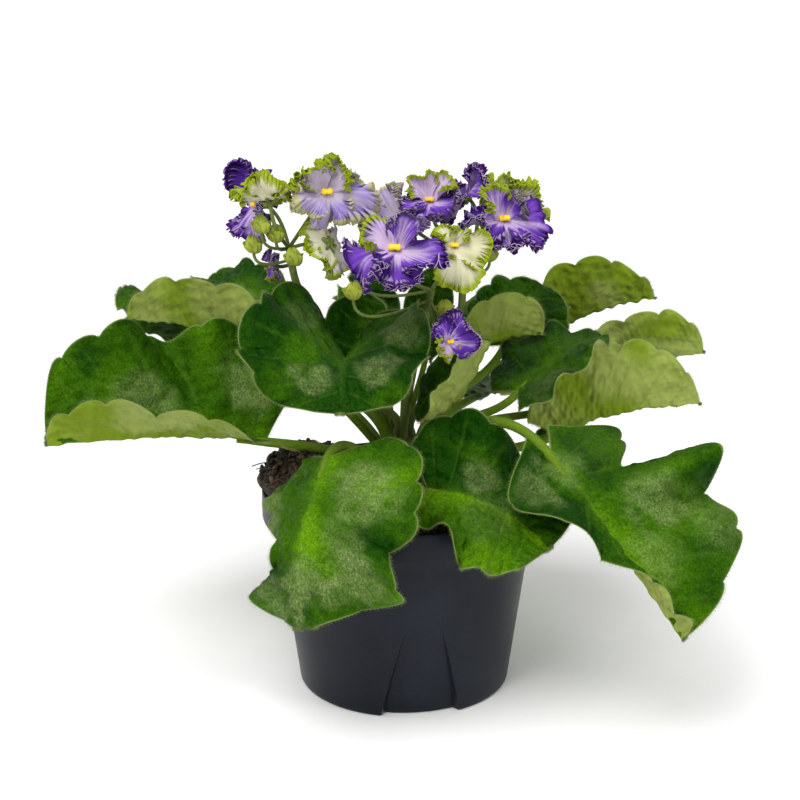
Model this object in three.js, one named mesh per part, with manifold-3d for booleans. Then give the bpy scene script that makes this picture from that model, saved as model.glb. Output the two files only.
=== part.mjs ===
// A potted african violet: a plain nursery pot of soil with a rosette of waved leaves
// and three stalks of frilled blooms. Millimetres, +Z up, origin under the pot's centre.
// Azimuths are degrees from +X towards +Y, and the front of the plant looks along -Y.
import * as THREE from 'three';
import { mergeVertices } from 'three/addons/utils/BufferGeometryUtils.js';
import Module from 'manifold-3d';

const wasm = await Module();
wasm.setup();

// ---------------------------------------------------------------- driving dimensions
const CLEARANCE = 0.35;

const POT_HEIGHT = 93;
const POT_FOOT_RADIUS = 48.5;
const POT_NECK_RADIUS = 59.5;
const POT_WALL = 1.6;
const POT_FLOOR = 4.5;
const COLLAR_RADIUS = 65;
const COLLAR_UNDERSIDE = 80;
const PANEL_COUNT = 3;
const PANEL_AZIMUTH = 279.3;
const PANEL_TOP = 50;
const PANEL_DEPTH = 4;
const PANEL_HALF_ANGLE_FOOT = 20.5;
const PANEL_HALF_ANGLE_TOP = 6.6;
const DRAIN_COUNT = 6;
const DRAIN_RADIUS = 4;
const DRAIN_CIRCLE = 27;
const PAD_RADIUS = 14;
const FOOT_RING_INSIDE = 39.5;
const CHANNEL_DEPTH = 2.5;
const CHANNEL_SLOPE = 1.5;

const SOIL_EDGE_LEVEL = 85;
const SOIL_MIDDLE_LEVEL = 94;
const SOIL_MOUND = 13;
const SOIL_MOUND_AZIMUTH = 176;
const SOIL_MOUND_SPREAD = 44;
const SOIL_SPILL = 4.5;

const CROWN_RADIUS = 6.4;
const CROWN_FOOT = 60;
const CROWN_TOP = 116;

const BLADE_THICKNESS = 0.8;
const KEEL_DEPTH = 1.0;
const PETAL_THICKNESS = 0.7;

const TAU = 2 * Math.PI;
const deg = THREE.MathUtils.degToRad;
const lerp = THREE.MathUtils.lerp;
const clamp = THREE.MathUtils.clamp;
const vec = (x, y, z) => new THREE.Vector3(x, y, z);
const UP = vec(0, 0, 1);
const towards = (azimuth, rise) => vec(
  Math.cos(azimuth) * Math.cos(rise),
  Math.sin(azimuth) * Math.cos(rise),
  Math.sin(rise),
);

// ---------------------------------------------------------------- solids and booleans
function solidOf(geometry) {
  const bare = new THREE.BufferGeometry();
  bare.setAttribute('position', geometry.getAttribute('position').clone());
  if (geometry.index) bare.setIndex(geometry.index.clone());
  const merged = mergeVertices(bare, 1e-4);
  const corners = merged.index.array;
  const triangles = [];
  for (let i = 0; i < corners.length; i += 3) {
    const [a, b, c] = [corners[i], corners[i + 1], corners[i + 2]];
    if (a !== b && b !== c && c !== a) triangles.push(a, b, c);
  }
  return new wasm.Manifold(new wasm.Mesh({
    numProp: 3,
    vertProperties: Float32Array.from(merged.getAttribute('position').array),
    triVerts: Uint32Array.from(triangles),
  }));
}

function geometryOf(solid) {
  const mesh = solid.getMesh();
  const geometry = new THREE.BufferGeometry();
  geometry.setAttribute('position', new THREE.Float32BufferAttribute(mesh.vertProperties, 3));
  geometry.setIndex(new THREE.Uint32BufferAttribute(mesh.triVerts, 1));
  geometry.computeVertexNormals();
  return geometry;
}

function join(geometries) {
  const solids = geometries.map(solidOf);
  return geometryOf(solids.reduce((whole, piece) => whole.add(piece)));
}

function meshData(points, triangles) {
  const geometry = new THREE.BufferGeometry();
  const places = points.flatMap((p) => [p.x, p.y, p.z]);
  geometry.setAttribute('position', new THREE.Float32BufferAttribute(places, 3));
  geometry.setIndex(triangles);
  return geometry;
}

// A closed body turned about the Z axis. Every row is a ring of points, except the first
// and last, which are single points on the axis. Rows run up the outside and back inside,
// and each square of the wall is split from its lower left to its upper right.
function turnedBody(rows, columns) {
  const points = [rows[0](0)];
  for (const row of rows.slice(1, -1)) {
    for (let j = 0; j < columns; j += 1) points.push(row(j));
  }
  points.push(rows[rows.length - 1](0));
  const ring = (i, j) => 1 + (i - 1) * columns + (j % columns);
  const last = rows.length - 1;
  const triangles = [];
  for (let j = 0; j < columns; j += 1) {
    triangles.push(0, ring(1, j + 1), ring(1, j));
    triangles.push(points.length - 1, ring(last - 1, j), ring(last - 1, j + 1));
    for (let i = 1; i < last - 1; i += 1) {
      const [a, b, c, d] = [ring(i, j), ring(i, j + 1), ring(i + 1, j + 1), ring(i + 1, j)];
      const falls = points[a].z > points[d].z;
      if (falls) triangles.push(a, b, d, b, c, d);
      else triangles.push(a, b, c, a, c, d);
    }
  }
  return meshData(points, triangles);
}

// A thin closed sheet over a grid of surface points. It lies half its thickness to each
// side of the surface, and the underside may be sunk further by a keel. With a closed
// first row of one point, and columns that wrap round, it is a round corolla.
function sheet(rows, columns, surface, thickness, keel, wraps) {
  const at = [];
  for (let i = 0; i <= rows; i += 1) {
    at.push([]);
    for (let j = 0; j <= columns; j += 1) at[i].push(surface(i / rows, j / columns));
  }
  const span = wraps ? columns : columns + 1;
  const column = (j) => (wraps ? (j + columns) % columns : clamp(j, 0, columns));
  const normal = (i, j) => {
    const along = at[Math.min(i + 1, rows)][column(j)].clone().sub(at[Math.max(i - 1, 0)][column(j)]);
    const across = at[i][column(j + 1)].clone().sub(at[i][column(j - 1)]);
    return along.cross(across).normalize();
  };
  const middle = vec(0, 0, 0);
  if (wraps) for (let j = 0; j < columns; j += 1) middle.add(normal(1, j));
  middle.normalize();
  const points = [];
  for (const side of [1, -1]) {
    for (let i = 0; i <= rows; i += 1) {
      for (let j = 0; j < span; j += 1) {
        const n = wraps && i === 0 ? middle : normal(i, j);
        const depth = side > 0 ? thickness / 2 : thickness / 2 + keel(i / rows, j / columns);
        points.push(at[i][j].clone().addScaledVector(n, side * depth));
      }
    }
  }
  const half = (rows + 1) * span;
  const top = (i, j) => i * span + (wraps ? j % columns : j);
  const low = (i, j) => half + top(i, j);
  const triangles = [];
  const quad = (a, b, c, d) => triangles.push(a, b, c, a, c, d);
  for (let i = 0; i < rows; i += 1) {
    for (let j = 0; j < columns; j += 1) {
      quad(top(i, j), top(i + 1, j), top(i + 1, j + 1), top(i, j + 1));
      triangles.push(low(i, j), low(i + 1, j + 1), low(i + 1, j));
      triangles.push(low(i, j), low(i, j + 1), low(i + 1, j + 1));
    }
    if (!wraps) {
      quad(top(i, 0), low(i, 0), low(i + 1, 0), top(i + 1, 0));
      quad(top(i + 1, columns), low(i + 1, columns), low(i, columns), top(i, columns));
    }
  }
  for (let j = 0; j < columns; j += 1) {
    quad(top(rows, j), low(rows, j), low(rows, j + 1), top(rows, j + 1));
    if (!wraps) quad(top(0, j + 1), low(0, j + 1), low(0, j), top(0, j));
  }
  return meshData(points, triangles);
}

function stemAlong(points, radius, sides, steps) {
  const section = new THREE.Shape();
  for (let k = 0; k < sides; k += 1) {
    const angle = (k * TAU) / sides;
    const [x, y] = [radius * Math.cos(angle), radius * Math.sin(angle)];
    if (k === 0) section.moveTo(x, y);
    else section.lineTo(x, y);
  }
  section.closePath();
  const extrudePath = new THREE.CatmullRomCurve3(points);
  return new THREE.ExtrudeGeometry(section, { steps, extrudePath, curveSegments: 1 });
}

// ---------------------------------------------------------------- pot
// Columns follow the slanted sides of the recessed panels, so their edges stay sharp.
const PANEL_COLUMNS = [-1.06, -1, -0.4, 0.4, 1, 1.06];
const PLAIN_COLUMNS = 4;
const POT_COLUMNS = PANEL_COUNT * (PANEL_COLUMNS.length + PLAIN_COLUMNS);

function potColumn(index, z) {
  const perPanel = POT_COLUMNS / PANEL_COUNT;
  const panel = Math.floor(index / perPanel);
  const k = index % perPanel;
  const half = lerp(PANEL_HALF_ANGLE_FOOT, PANEL_HALF_ANGLE_TOP, clamp(z / PANEL_TOP, 0, 1));
  const pitch = 360 / PANEL_COUNT;
  const edge = PANEL_COLUMNS[PANEL_COLUMNS.length - 1] * half;
  const inPanel = k < PANEL_COLUMNS.length;
  const share = (k - PANEL_COLUMNS.length + 1) / (PLAIN_COLUMNS + 1);
  const offset = inPanel ? PANEL_COLUMNS[k] * half : lerp(edge, pitch - edge, share);
  const recessed = inPanel && k > 0 && k < PANEL_COLUMNS.length - 1;
  const depth = recessed ? PANEL_DEPTH * clamp(1 - z / PANEL_TOP, 0, 1) : 0;
  return { angle: deg(PANEL_AZIMUTH + panel * pitch + offset), depth };
}

const potRadius = (z) => lerp(POT_FOOT_RADIUS, POT_NECK_RADIUS, z / COLLAR_UNDERSIDE);

// A ring of the pot at a height, with a radius from which the panels' recess is taken.
const potRing = (radius, z, panelled = true) => (j) => {
  const { angle, depth } = potColumn(j, z);
  const r = radius - (panelled ? depth : 0);
  return vec(r * Math.cos(angle), r * Math.sin(angle), z);
};

function pot() {
  const bevel = 1;
  const collarInside = COLLAR_RADIUS - POT_WALL;
  const shelf = COLLAR_UNDERSIDE + POT_WALL;
  const body = turnedBody([
    () => vec(0, 0, 0),
    potRing(PAD_RADIUS, 0, false),
    potRing(PAD_RADIUS + CHANNEL_SLOPE, CHANNEL_DEPTH, false),
    potRing(FOOT_RING_INSIDE - CHANNEL_SLOPE, CHANNEL_DEPTH, false),
    potRing(FOOT_RING_INSIDE, 0, false),
    potRing(POT_FOOT_RADIUS - bevel, 0),
    potRing(potRadius(bevel), bevel),
    potRing(potRadius(PANEL_TOP / 2), PANEL_TOP / 2),
    potRing(potRadius(PANEL_TOP), PANEL_TOP),
    potRing(POT_NECK_RADIUS, COLLAR_UNDERSIDE),
    potRing(COLLAR_RADIUS - 0.5, COLLAR_UNDERSIDE + 0.2),
    potRing(COLLAR_RADIUS, COLLAR_UNDERSIDE + 1.2),
    potRing(COLLAR_RADIUS, POT_HEIGHT - 0.8),
    potRing(COLLAR_RADIUS - 0.6, POT_HEIGHT),
    potRing(collarInside, POT_HEIGHT),
    potRing(collarInside, shelf + 0.6),
    potRing(POT_NECK_RADIUS - POT_WALL, shelf),
    potRing(potRadius(PANEL_TOP) - POT_WALL, PANEL_TOP),
    potRing(potRadius(POT_FLOOR) - POT_WALL, POT_FLOOR),
    () => vec(0, 0, POT_FLOOR),
  ], POT_COLUMNS);
  let solid = solidOf(body);
  for (let k = 0; k < DRAIN_COUNT; k += 1) {
    const angle = ((k + 0.5) * TAU) / DRAIN_COUNT;
    const drain = new THREE.CylinderGeometry(DRAIN_RADIUS, DRAIN_RADIUS, 3 * POT_FLOOR, 10);
    drain.rotateX(Math.PI / 2);
    drain.translate(DRAIN_CIRCLE * Math.cos(angle), DRAIN_CIRCLE * Math.sin(angle), 0);
    solid = solid.subtract(solidOf(drain));
  }
  return geometryOf(solid);
}

// ---------------------------------------------------------------- soil and crown
// The ball of soil is proud of the pot on one side, where it lies over the rim.
function soil() {
  const inside = (z) => potRadius(z) - POT_WALL - CLEARANCE;
  const rimInside = COLLAR_RADIUS - POT_WALL - CLEARANCE;
  const rimClear = POT_HEIGHT + CLEARANCE;
  const heap = (angle) => {
    const away = angle - deg(SOIL_MOUND_AZIMUTH);
    const turn = Math.atan2(Math.sin(away), Math.cos(away));
    return Math.exp(-((turn / deg(SOIL_MOUND_SPREAD)) ** 2));
  };
  const spill = (angle) => clamp((heap(angle) - 0.8) / 0.2, 0, 1);
  const edge = (angle) => Math.min(rimClear, SOIL_EDGE_LEVEL + 14 * heap(angle));
  const lumps = (angle, r) => 1.1 * Math.sin(5 * angle + r) + 0.8 * Math.sin(9 * angle - 0.7 * r);
  const topRing = (share, rise) => (j) => {
    const { angle } = potColumn(j, POT_HEIGHT);
    const r = lerp(CROWN_RADIUS + 1, rimInside + SOIL_SPILL * spill(angle), share);
    const mound = SOIL_MOUND * heap(angle) * Math.min(1, 2.2 * share);
    const level = lerp(SOIL_MIDDLE_LEVEL, edge(angle), share);
    const z = level + (mound + lumps(angle, r)) * rise + 0.8;
    return vec(r * Math.cos(angle), r * Math.sin(angle), z);
  };
  const ring = (radius, z) => (j) => {
    const { angle } = potColumn(j, POT_HEIGHT);
    return vec(radius(angle) * Math.cos(angle), radius(angle) * Math.sin(angle), z(angle));
  };
  const shelf = COLLAR_UNDERSIDE + POT_WALL + 0.6 + CLEARANCE;
  const neck = POT_NECK_RADIUS - POT_WALL - 1.6 * CLEARANCE;
  return turnedBody([
    () => vec(0, 0, POT_FLOOR + CLEARANCE),
    potRing(inside(POT_FLOOR) - 0.2, POT_FLOOR + CLEARANCE),
    potRing(inside(PANEL_TOP), PANEL_TOP),
    potRing(neck, COLLAR_UNDERSIDE),
    ring(() => neck, () => shelf),
    ring(() => rimInside, () => shelf),
    ring(() => rimInside, edge),
    ring((angle) => rimInside + SOIL_SPILL * spill(angle), (angle) => edge(angle) + 0.3),
    topRing(0.97, 0.35),
    topRing(0.82, 1),
    topRing(0.6, 1),
    topRing(0.35, 0.8),
    topRing(0.12, 0.3),
    ring(() => CROWN_RADIUS + CLEARANCE, () => SOIL_MIDDLE_LEVEL + 0.5),
    ring(() => CROWN_RADIUS + CLEARANCE, () => CROWN_FOOT - CLEARANCE),
    () => vec(0, 0, CROWN_FOOT - CLEARANCE),
  ], POT_COLUMNS);
}

function crown() {
  const profile = [[0, CROWN_FOOT], [CROWN_RADIUS / 2, CROWN_FOOT], [CROWN_RADIUS, CROWN_FOOT + 8],
    [CROWN_RADIUS, CROWN_TOP - 1], [CROWN_RADIUS - 1, CROWN_TOP], [0, CROWN_TOP]];
  const turned = new THREE.LatheGeometry(profile.map(([r, z]) => new THREE.Vector2(r, z)), 14);
  return geometryOf(solidOf(turned.rotateX(Math.PI / 2)));
}

// ---------------------------------------------------------------- leaves
// A leaf is a stalk from the crown to the blade's base and a blade about a midrib. The
// midrib bows from base to tip by arch (upwards) and sway (to its left). Each half of the
// blade has a width, a fold (its angle above level beside the midrib) and a curl (how much
// steeper it gets towards the edge); left of travel comes first, and pairs run base to tip.
// The edge ripples and has rounded teeth; back is how far the lobes at the base reach back;
// swells may lift the edge or draw it in: [side, place 0-1, spread, lift, reach]. Places are
// millimetres.
const LOBE_START = deg(24);
const LOBE_END = deg(177);
const WIDEST = 0.42;
const LOBE_BACK = 0.6;
const TOOTH_DEPTH = 0.04;

function midribOf(leaf) {
  const [base, tip] = [vec(...leaf.base), vec(...leaf.tip)];
  const chord = tip.clone().sub(base);
  const side = vec(-chord.y, chord.x, 0).normalize();
  const lift = chord.clone().cross(side).normalize();
  const knee = base.clone().lerp(tip, 0.5)
    .addScaledVector(lift, 2 * leaf.arch)
    .addScaledVector(side, 2 * (leaf.sway ?? 0));
  return { base, knee, tip, side };
}

function midribFrame(leaf, u) {
  const { base, knee, tip, side } = midribOf(leaf);
  const inside = clamp(u, 0, 1);
  const point = base.clone().multiplyScalar((1 - inside) ** 2)
    .addScaledVector(knee, 2 * inside * (1 - inside))
    .addScaledVector(tip, inside ** 2);
  const run = knee.clone().sub(base).multiplyScalar(2 * (1 - inside))
    .addScaledVector(tip.clone().sub(knee), 2 * inside);
  point.addScaledVector(run, u - inside);
  const along = run.clone().normalize();
  const across = side.clone().addScaledVector(along, -side.dot(along)).normalize();
  return { point, along, across, normal: along.clone().cross(across) };
}

const bySide = (value, left) => (Array.isArray(value) ? value[left ? 0 : 1] : value);
const alongLeaf = (value, t) => (Array.isArray(value) ? lerp(value[0], value[1], t) : value);

function bladePoint(leaf, t, v) {
  const left = v >= 0;
  const sign = left ? 1 : -1;
  const out = Math.abs(v);
  const turn = lerp(LOBE_START, LOBE_END, t);
  const edgeU = WIDEST - (turn < Math.PI / 2 ? leaf.back ?? LOBE_BACK : 1 - WIDEST) * Math.cos(turn);
  const ends = Math.sqrt(Math.max(0, Math.sin(Math.PI * t)));
  let half = bySide(leaf.wide, left) * Math.sin(turn) ** (leaf.point ?? 0.95);
  let raise = 0;
  for (const [side, place, spread, lift, reach] of leaf.swells ?? []) {
    if (side > 0 !== left) continue;
    const bump = Math.exp(-(((t - place) / spread) ** 2));
    half *= 1 + reach * bump;
    raise += lift * bump;
  }
  half *= 1 + TOOTH_DEPTH * Math.cos(Math.PI * leaf.grid[0] * t) * ends;
  const innerU = t ** 1.5;
  const u = innerU + (edgeU - innerU) * out ** 1.15;
  const frame = midribFrame(leaf, u);
  const fold = deg(alongLeaf(bySide(leaf.fold, left), t));
  const curl = deg(alongLeaf(bySide(leaf.curl, left), t)) || 1e-6;
  const tilt = fold + curl * out;
  const lateral = ((Math.sin(tilt) - Math.sin(fold)) / curl) * half;
  const height = ((Math.cos(fold) - Math.cos(tilt)) / curl) * half;
  const phase = bySide(leaf.phase ?? 0, left);
  const ripple = bySide(leaf.ripple, left) * Math.sin(TAU * (3.5 * t + phase)) * ends * out ** 2.2;
  const wave = ripple + raise * out ** 1.7;
  return frame.point
    .addScaledVector(frame.across, sign * (lateral - Math.sin(tilt) * wave))
    .addScaledVector(frame.normal, height + Math.cos(tilt) * wave);
}

function leafStalk(leaf) {
  const radius = leaf.stalk;
  const azimuth = deg(leaf.azimuth);
  const lift = deg(leaf.lift);
  const away = towards(azimuth, lift);
  const reach = CROWN_RADIUS + CLEARANCE + radius * Math.sin(lift);
  const root = vec(reach * Math.cos(azimuth), reach * Math.sin(azimuth), leaf.root);
  const start = midribFrame(leaf, 0);
  const sunk = radius * 0.55;
  const base = start.point.clone().addScaledVector(start.normal, -sunk);
  const hold = 0.38 * base.distanceTo(root);
  const curve = new THREE.CubicBezierCurve3(root, root.clone().addScaledVector(away, hold),
    base.clone().addScaledVector(start.along, -hold), base);
  const inner = midribFrame(leaf, 0.14);
  const points = curve.getPoints(8);
  points.push(inner.point.addScaledVector(inner.normal, -sunk));
  return stemAlong(points, radius, 5, 7);
}

function leafBody(leaf) {
  const [rows, spread] = leaf.grid;
  const across = (share) => {
    const v = 2 * share - 1;
    return Math.sign(v) * Math.abs(v) ** 1.25;
  };
  const keel = (t, share) => (Math.abs(share - 0.5) < 0.01 ? KEEL_DEPTH * (1 - t) : 0);
  const surface = (t, share) => bladePoint(leaf, t, across(share));
  return join([sheet(rows, spread, surface, BLADE_THICKNESS, keel, false), leafStalk(leaf)]);
}

const LARGE = { grid: [14, 6], stalk: 2.3 };
const PLAIN = { grid: [12, 4], stalk: 2.2 };
const MIDDLE = { grid: [12, 4], stalk: 1.9 };
const SMALL = { grid: [8, 4], stalk: 1.4 };

// Front and side leaves of the low tier, then the back, the middle tier and the heart.
const LEAVES = {
  leaf_front_left: {
    ...LARGE, azimuth: 232, root: 99, lift: 35, base: [-33, -48, 123], tip: [-45, -84, 59], arch: 12,
    wide: [50, 34], fold: [[14, -8], [-40, -10]], curl: [-10, [-10, -20]], ripple: [4, 2.5],
    phase: [0.1, 0.3],
    swells: [[1, 0.08, 0.1, 0, 0.25], [1, 0.52, 0.1, 0, -0.22], [1, 0.7, 0.07, 0, 0.15],
      [1, 0.89, 0.08, 0, -0.5], [-1, 0.1, 0.12, 0, 0.45], [-1, 0.56, 0.14, 0, -0.55],
      [-1, 0.81, 0.06, 0, 0.5]],
  },
  leaf_front_middle: {
    ...LARGE, azimuth: 285, root: 100, lift: 20, base: [10, -42, 106], tip: [62, -63, 87], arch: 7,
    sway: 1, wide: [41, 40], fold: [[62, 42], [-15, -28]], curl: [[10, 0], -10], ripple: 4,
    swells: [[-1, 0.3, 0.18, 0, -0.45], [-1, 0.8, 0.1, 0, 0.1], [-1, 0.93, 0.06, 0, 0.5],
      [1, 0.54, 0.175, -9.5, -0.44]],
  },
  leaf_front_right: {
    ...LARGE, azimuth: 338, root: 105, lift: 60, base: [62.5, -51, 126], tip: [116, -90, 57], arch: 1,
    wide: [51, 25], fold: [[-12, 55], [-75, 90]], curl: [[5, 0], [0, 20]], ripple: 4,
    swells: [[1, 0, 0.1, 0, -0.35], [1, 0.17, 0.07, 0, 0.3], [1, 0.3, 0.045, -8, -0.3],
      [1, 0.43, 0.07, 32, -0.05], [1, 0.65, 0.08, 0, 0.15], [-1, 0, 0.08, 0, -0.6],
      [-1, 0.2, 0.08, 0, 0.3], [-1, 0.5, 0.15, 0, -0.55]],
  },
  leaf_left: {
    ...LARGE, azimuth: 184, root: 101, lift: 25, base: [-62, -3, 116], tip: [-158, -22, 119], arch: 3,
    wide: [29, 55], fold: [[-5, 85], [60, 58]], curl: [[10, 0], 5], ripple: [2, 4], point: 0.8,
    swells: [[-1, 0.44, 0.06, -14, -0.2], [-1, 0.84, 0.1, 0, 0.2]],
  },
  leaf_right: {
    ...LARGE, azimuth: 8, root: 101, lift: 20, base: [70, 25, 110], tip: [138, 29, 123], arch: 4,
    wide: [30, 36], fold: [-10, [78, 82]], curl: 5, ripple: [4, 2], point: 1.35,
    swells: [[-1, 0.2, 0.15, 0, 0.15]],
  },
  leaf_upper_front: {
    ...LARGE, azimuth: 238, root: 110, lift: 70, base: [-26, -12, 156], tip: [-27, -52, 144], arch: 9,
    wide: [38, 46], fold: [[55, -25], [55, -25]], curl: 10, ripple: 4, back: 0.62,
    swells: [[-1, 0.14, 0.1, 4, 0.24], [1, 0.1, 0.1, 0, 0], [1, 0.22, 0.08, -1, 0.1],
      [1, 0.36, 0.1, 0, 0.1]],
  },
  leaf_back_left: {
    ...PLAIN, azimuth: 124, root: 101, lift: 30, base: [-36, 52, 120], tip: [-84, 120, 94], arch: 6,
    wide: [40, 38], fold: [15, -5], curl: 5, ripple: 4.5,
  },
  leaf_back: {
    ...PLAIN, azimuth: 90, root: 105, lift: 45, base: [3, 60, 144], tip: [8, 138, 126], arch: 6,
    wide: [42, 42], fold: 20, curl: 5, ripple: 5,
  },
  leaf_back_right: {
    ...PLAIN, azimuth: 58, root: 100, lift: 30, base: [32, 56, 118], tip: [78, 122, 96], arch: 6,
    wide: [38, 34], fold: [-5, 15], curl: 5, ripple: 4.5,
  },
  leaf_middle_right: {
    ...MIDDLE, azimuth: 350, root: 111, lift: 68, base: [50, -10, 141], tip: [90, 5, 162], arch: 4,
    wide: [30, 28], fold: [[5, -5], [-10, 15]], curl: 10, ripple: 3,
  },
  leaf_high_right: {
    ...MIDDLE, azimuth: 24, root: 106, lift: 40, base: [91, 48, 125], tip: [143, 56, 140], arch: 4,
    wide: [28, 27], fold: [12, [75, 78]], curl: 5, ripple: [3, 2],
  },
  leaf_far_right: {
    ...MIDDLE, azimuth: 52, root: 107, lift: 56, base: [68, 74, 143], tip: [123, 88, 159], arch: 4,
    wide: [30, 31], fold: [15, 72], curl: 5, ripple: [4, 2], point: 1.4,
    swells: [[-1, 0.15, 0.15, 0, 0.15], [-1, 0.7, 0.12, 0, -0.2]],
  },
  leaf_high_left: {
    ...MIDDLE, azimuth: 158, root: 106, lift: 45, base: [-66, 30, 150], tip: [-129, 38, 161], arch: 4,
    wide: [25, 28], fold: [70, 20], curl: 5, ripple: [2, 3], swells: [[1, 0.15, 0.12, 0, 0.25]],
  },
  leaf_far_left: {
    ...MIDDLE, azimuth: 138, root: 110, lift: 62, base: [-94, 60, 146], tip: [-137, 76, 167], arch: 3,
    wide: [24, 14], fold: [-15, -5], curl: 5, ripple: 2,
  },
  leaf_behind_left: {
    ...MIDDLE, azimuth: 116, root: 108, lift: 62, base: [-69, 76, 154], tip: [-99, 108, 163], arch: 3,
    wide: [22, 22], fold: [10, 25], curl: 5, ripple: 2,
  },
  leaf_behind_right: {
    ...MIDDLE, azimuth: 39, root: 113, lift: 70, base: [46, 34, 150], tip: [66, 52, 174], arch: 2,
    wide: [24, 26], fold: [20, -15], curl: 10, ripple: 2,
  },
  leaf_inner_right: {
    ...SMALL, azimuth: 14, root: 112, lift: 62, base: [33, 7, 155], tip: [63, 15, 160], arch: 3,
    wide: [15, 22], fold: [40, 75], curl: 5, ripple: 1.5,
  },
  leaf_inner_front: {
    ...SMALL, azimuth: 318, root: 112, lift: 70, base: [15, -18, 128], tip: [38, -13, 165], arch: -2,
    wide: [23, 25], fold: [30, 40], curl: 5, ripple: 2.5,
  },
  leaf_heart_left: {
    ...SMALL, azimuth: 122, root: 113, lift: 78, base: [-12, 24, 152], tip: [-22, 43, 182], arch: 2,
    wide: [14, 14], fold: 30, curl: 5, ripple: 1.5,
  },
  leaf_heart_back: {
    ...SMALL, azimuth: 80, root: 113, lift: 78, base: [10, 22, 150], tip: [20, 41, 186], arch: 2,
    wide: [14, 14], fold: 30, curl: 5, ripple: 1.5,
  },
  leaf_heart_front: {
    ...SMALL, azimuth: 188, root: 113, lift: 78, base: [-20, 5, 142], tip: [-19, 14, 180], arch: 2,
    wide: [19, 17], fold: [15, 15], curl: 5, ripple: 2,
  },
};

// ---------------------------------------------------------------- blooms
// A bloom is one corolla of five joined lobes with a frilled edge. It looks along an azimuth
// and elevation, and its tint is the colour of its face. Its lobes are numbered round from
// the upper right one, turned on by roll: [length as a share of size, lift, curl], where
// lift is how far the lobe rises from level and curl how far it bends on, both in degrees.
// A pair of anthers stands at its throat, and a calyx holds its back.
const LOBES = 5;
const LOBE_ROUND = 0.8;
const THROAT = 0.18;
const FRILLS = 10;
const FRILL_HEIGHT = 0.07;

const TINTS = { violet: 0x6a45b5, lilac: 0xb9a6d8, pale: 0xdfe3b4 };

const BLOOMS = {
  left_outer: { at: [-65.5, 19, 220], looks: [222, 12], size: 18.5, tint: 'violet', stalk: 'left',
    lobes: [[0.9, 40, -20], [0.6, 50, -30], [0.95, 25, -40], [1.1, 0, -30], [1.1, 20, 20]] },
  left_cup: { at: [-58, -9, 227], looks: [98, 66], roll: 186, size: 17, tint: 'pale', stalk: 'left',
    lobes: [[0.7, 35, -20], [0.9, 40, -20], [1.0, 40, -20], [0.95, 40, -20], [0.7, 35, -20]] },
  left_facing: { at: [-34, -6, 230], looks: [288, 32], size: 20, tint: 'lilac', stalk: 'left',
    lobes: [[0.8, 35, 10], [1.15, 10, -25], [0.9, 5, -50], [0.8, 20, -20], [0.8, 45, 10]] },
  left_lower: { at: [-33, -8, 207], looks: [150, -35], size: 16, tint: 'pale', stalk: 'left',
    lobes: [[0.9, 15, -20], [0.9, 15, -20], [1.0, 15, -20], [1.0, 20, -20], [1.0, 15, -20]] },
  left_small: { at: [-59, 20, 191], looks: [200, 10], size: 8, tint: 'violet', stalk: 'left',
    lobes: [[1, 20, -20], [1, 10, -20], [1, 20, -30], [1.3, 10, -20], [0.9, 30, 0]] },
  right_side: { at: [-3, 14, 213], looks: [232, 25], size: 18, tint: 'lilac', stalk: 'right',
    lobes: [[0.8, 25, -20], [0.9, 15, -20], [0.95, 10, -30], [1.05, 5, -30], [0.9, 20, -20]] },
  right_upper: { at: [11, -2, 225], looks: [262, 62], size: 15, tint: 'violet', stalk: 'right',
    lobes: [[1.0, 50, 0], [1, 15, -30], [0.8, 10, -40], [0.9, 15, -30], [1.0, 50, 0]] },
  right_tall: { at: [28, 14, 224], looks: [158, 40], size: 16, tint: 'violet', stalk: 'right',
    lobes: [[1.1, 10, -20], [1, 20, -20], [1, 20, -20], [0.9, 20, -20], [1, 20, -20]] },
  right_facing: { at: [43, -7, 218], looks: [286, 48], size: 20, tint: 'violet', stalk: 'right',
    lobes: [[0.75, 50, -10], [1.05, 12, -25], [0.85, 0, -35], [0.9, 15, -30], [0.9, 60, 0]] },
  right_back: { at: [47, 20, 218], looks: [62, 20], size: 17, tint: 'pale', stalk: 'right',
    lobes: [[1, 10, -20], [0.9, 10, -20], [0.8, 10, -20], [1, 10, -20], [1.1, 10, -20]] },
  front_facing: { at: [-4, -40, 212], looks: [268, 60], roll: -8, size: 22, tint: 'violet', stalk: 'front',
    lobes: [[0.9, 62, -20], [1.0, 0, -30], [0.9, -5, -45], [1.05, 6, -28], [0.75, 35, -10]] },
  front_green: { at: [21, -24, 210], looks: [285, 48], size: 13, tint: 'pale', stalk: 'front',
    lobes: [[0.8, 50, 0], [1.3, 15, -30], [1.5, 0, -30], [0.9, 35, 0], [0.8, 50, 0]] },
  front_low: { at: [19, -35, 171], looks: [300, 20], size: 10, tint: 'violet', stalk: 'front',
    lobes: [[1.3, 25, -10], [1.35, 25, -20], [0.9, 10, -20], [1.1, 35, -20], [1.2, 40, -20]] },
};

function bloomFrame(bloom) {
  const [azimuth, elevation] = bloom.looks.map(deg);
  const face = towards(azimuth, elevation);
  const level = vec(-Math.sin(azimuth), Math.cos(azimuth), 0);
  const top = face.clone().cross(level);
  return { centre: vec(...bloom.at), face, level, top };
}

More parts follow.
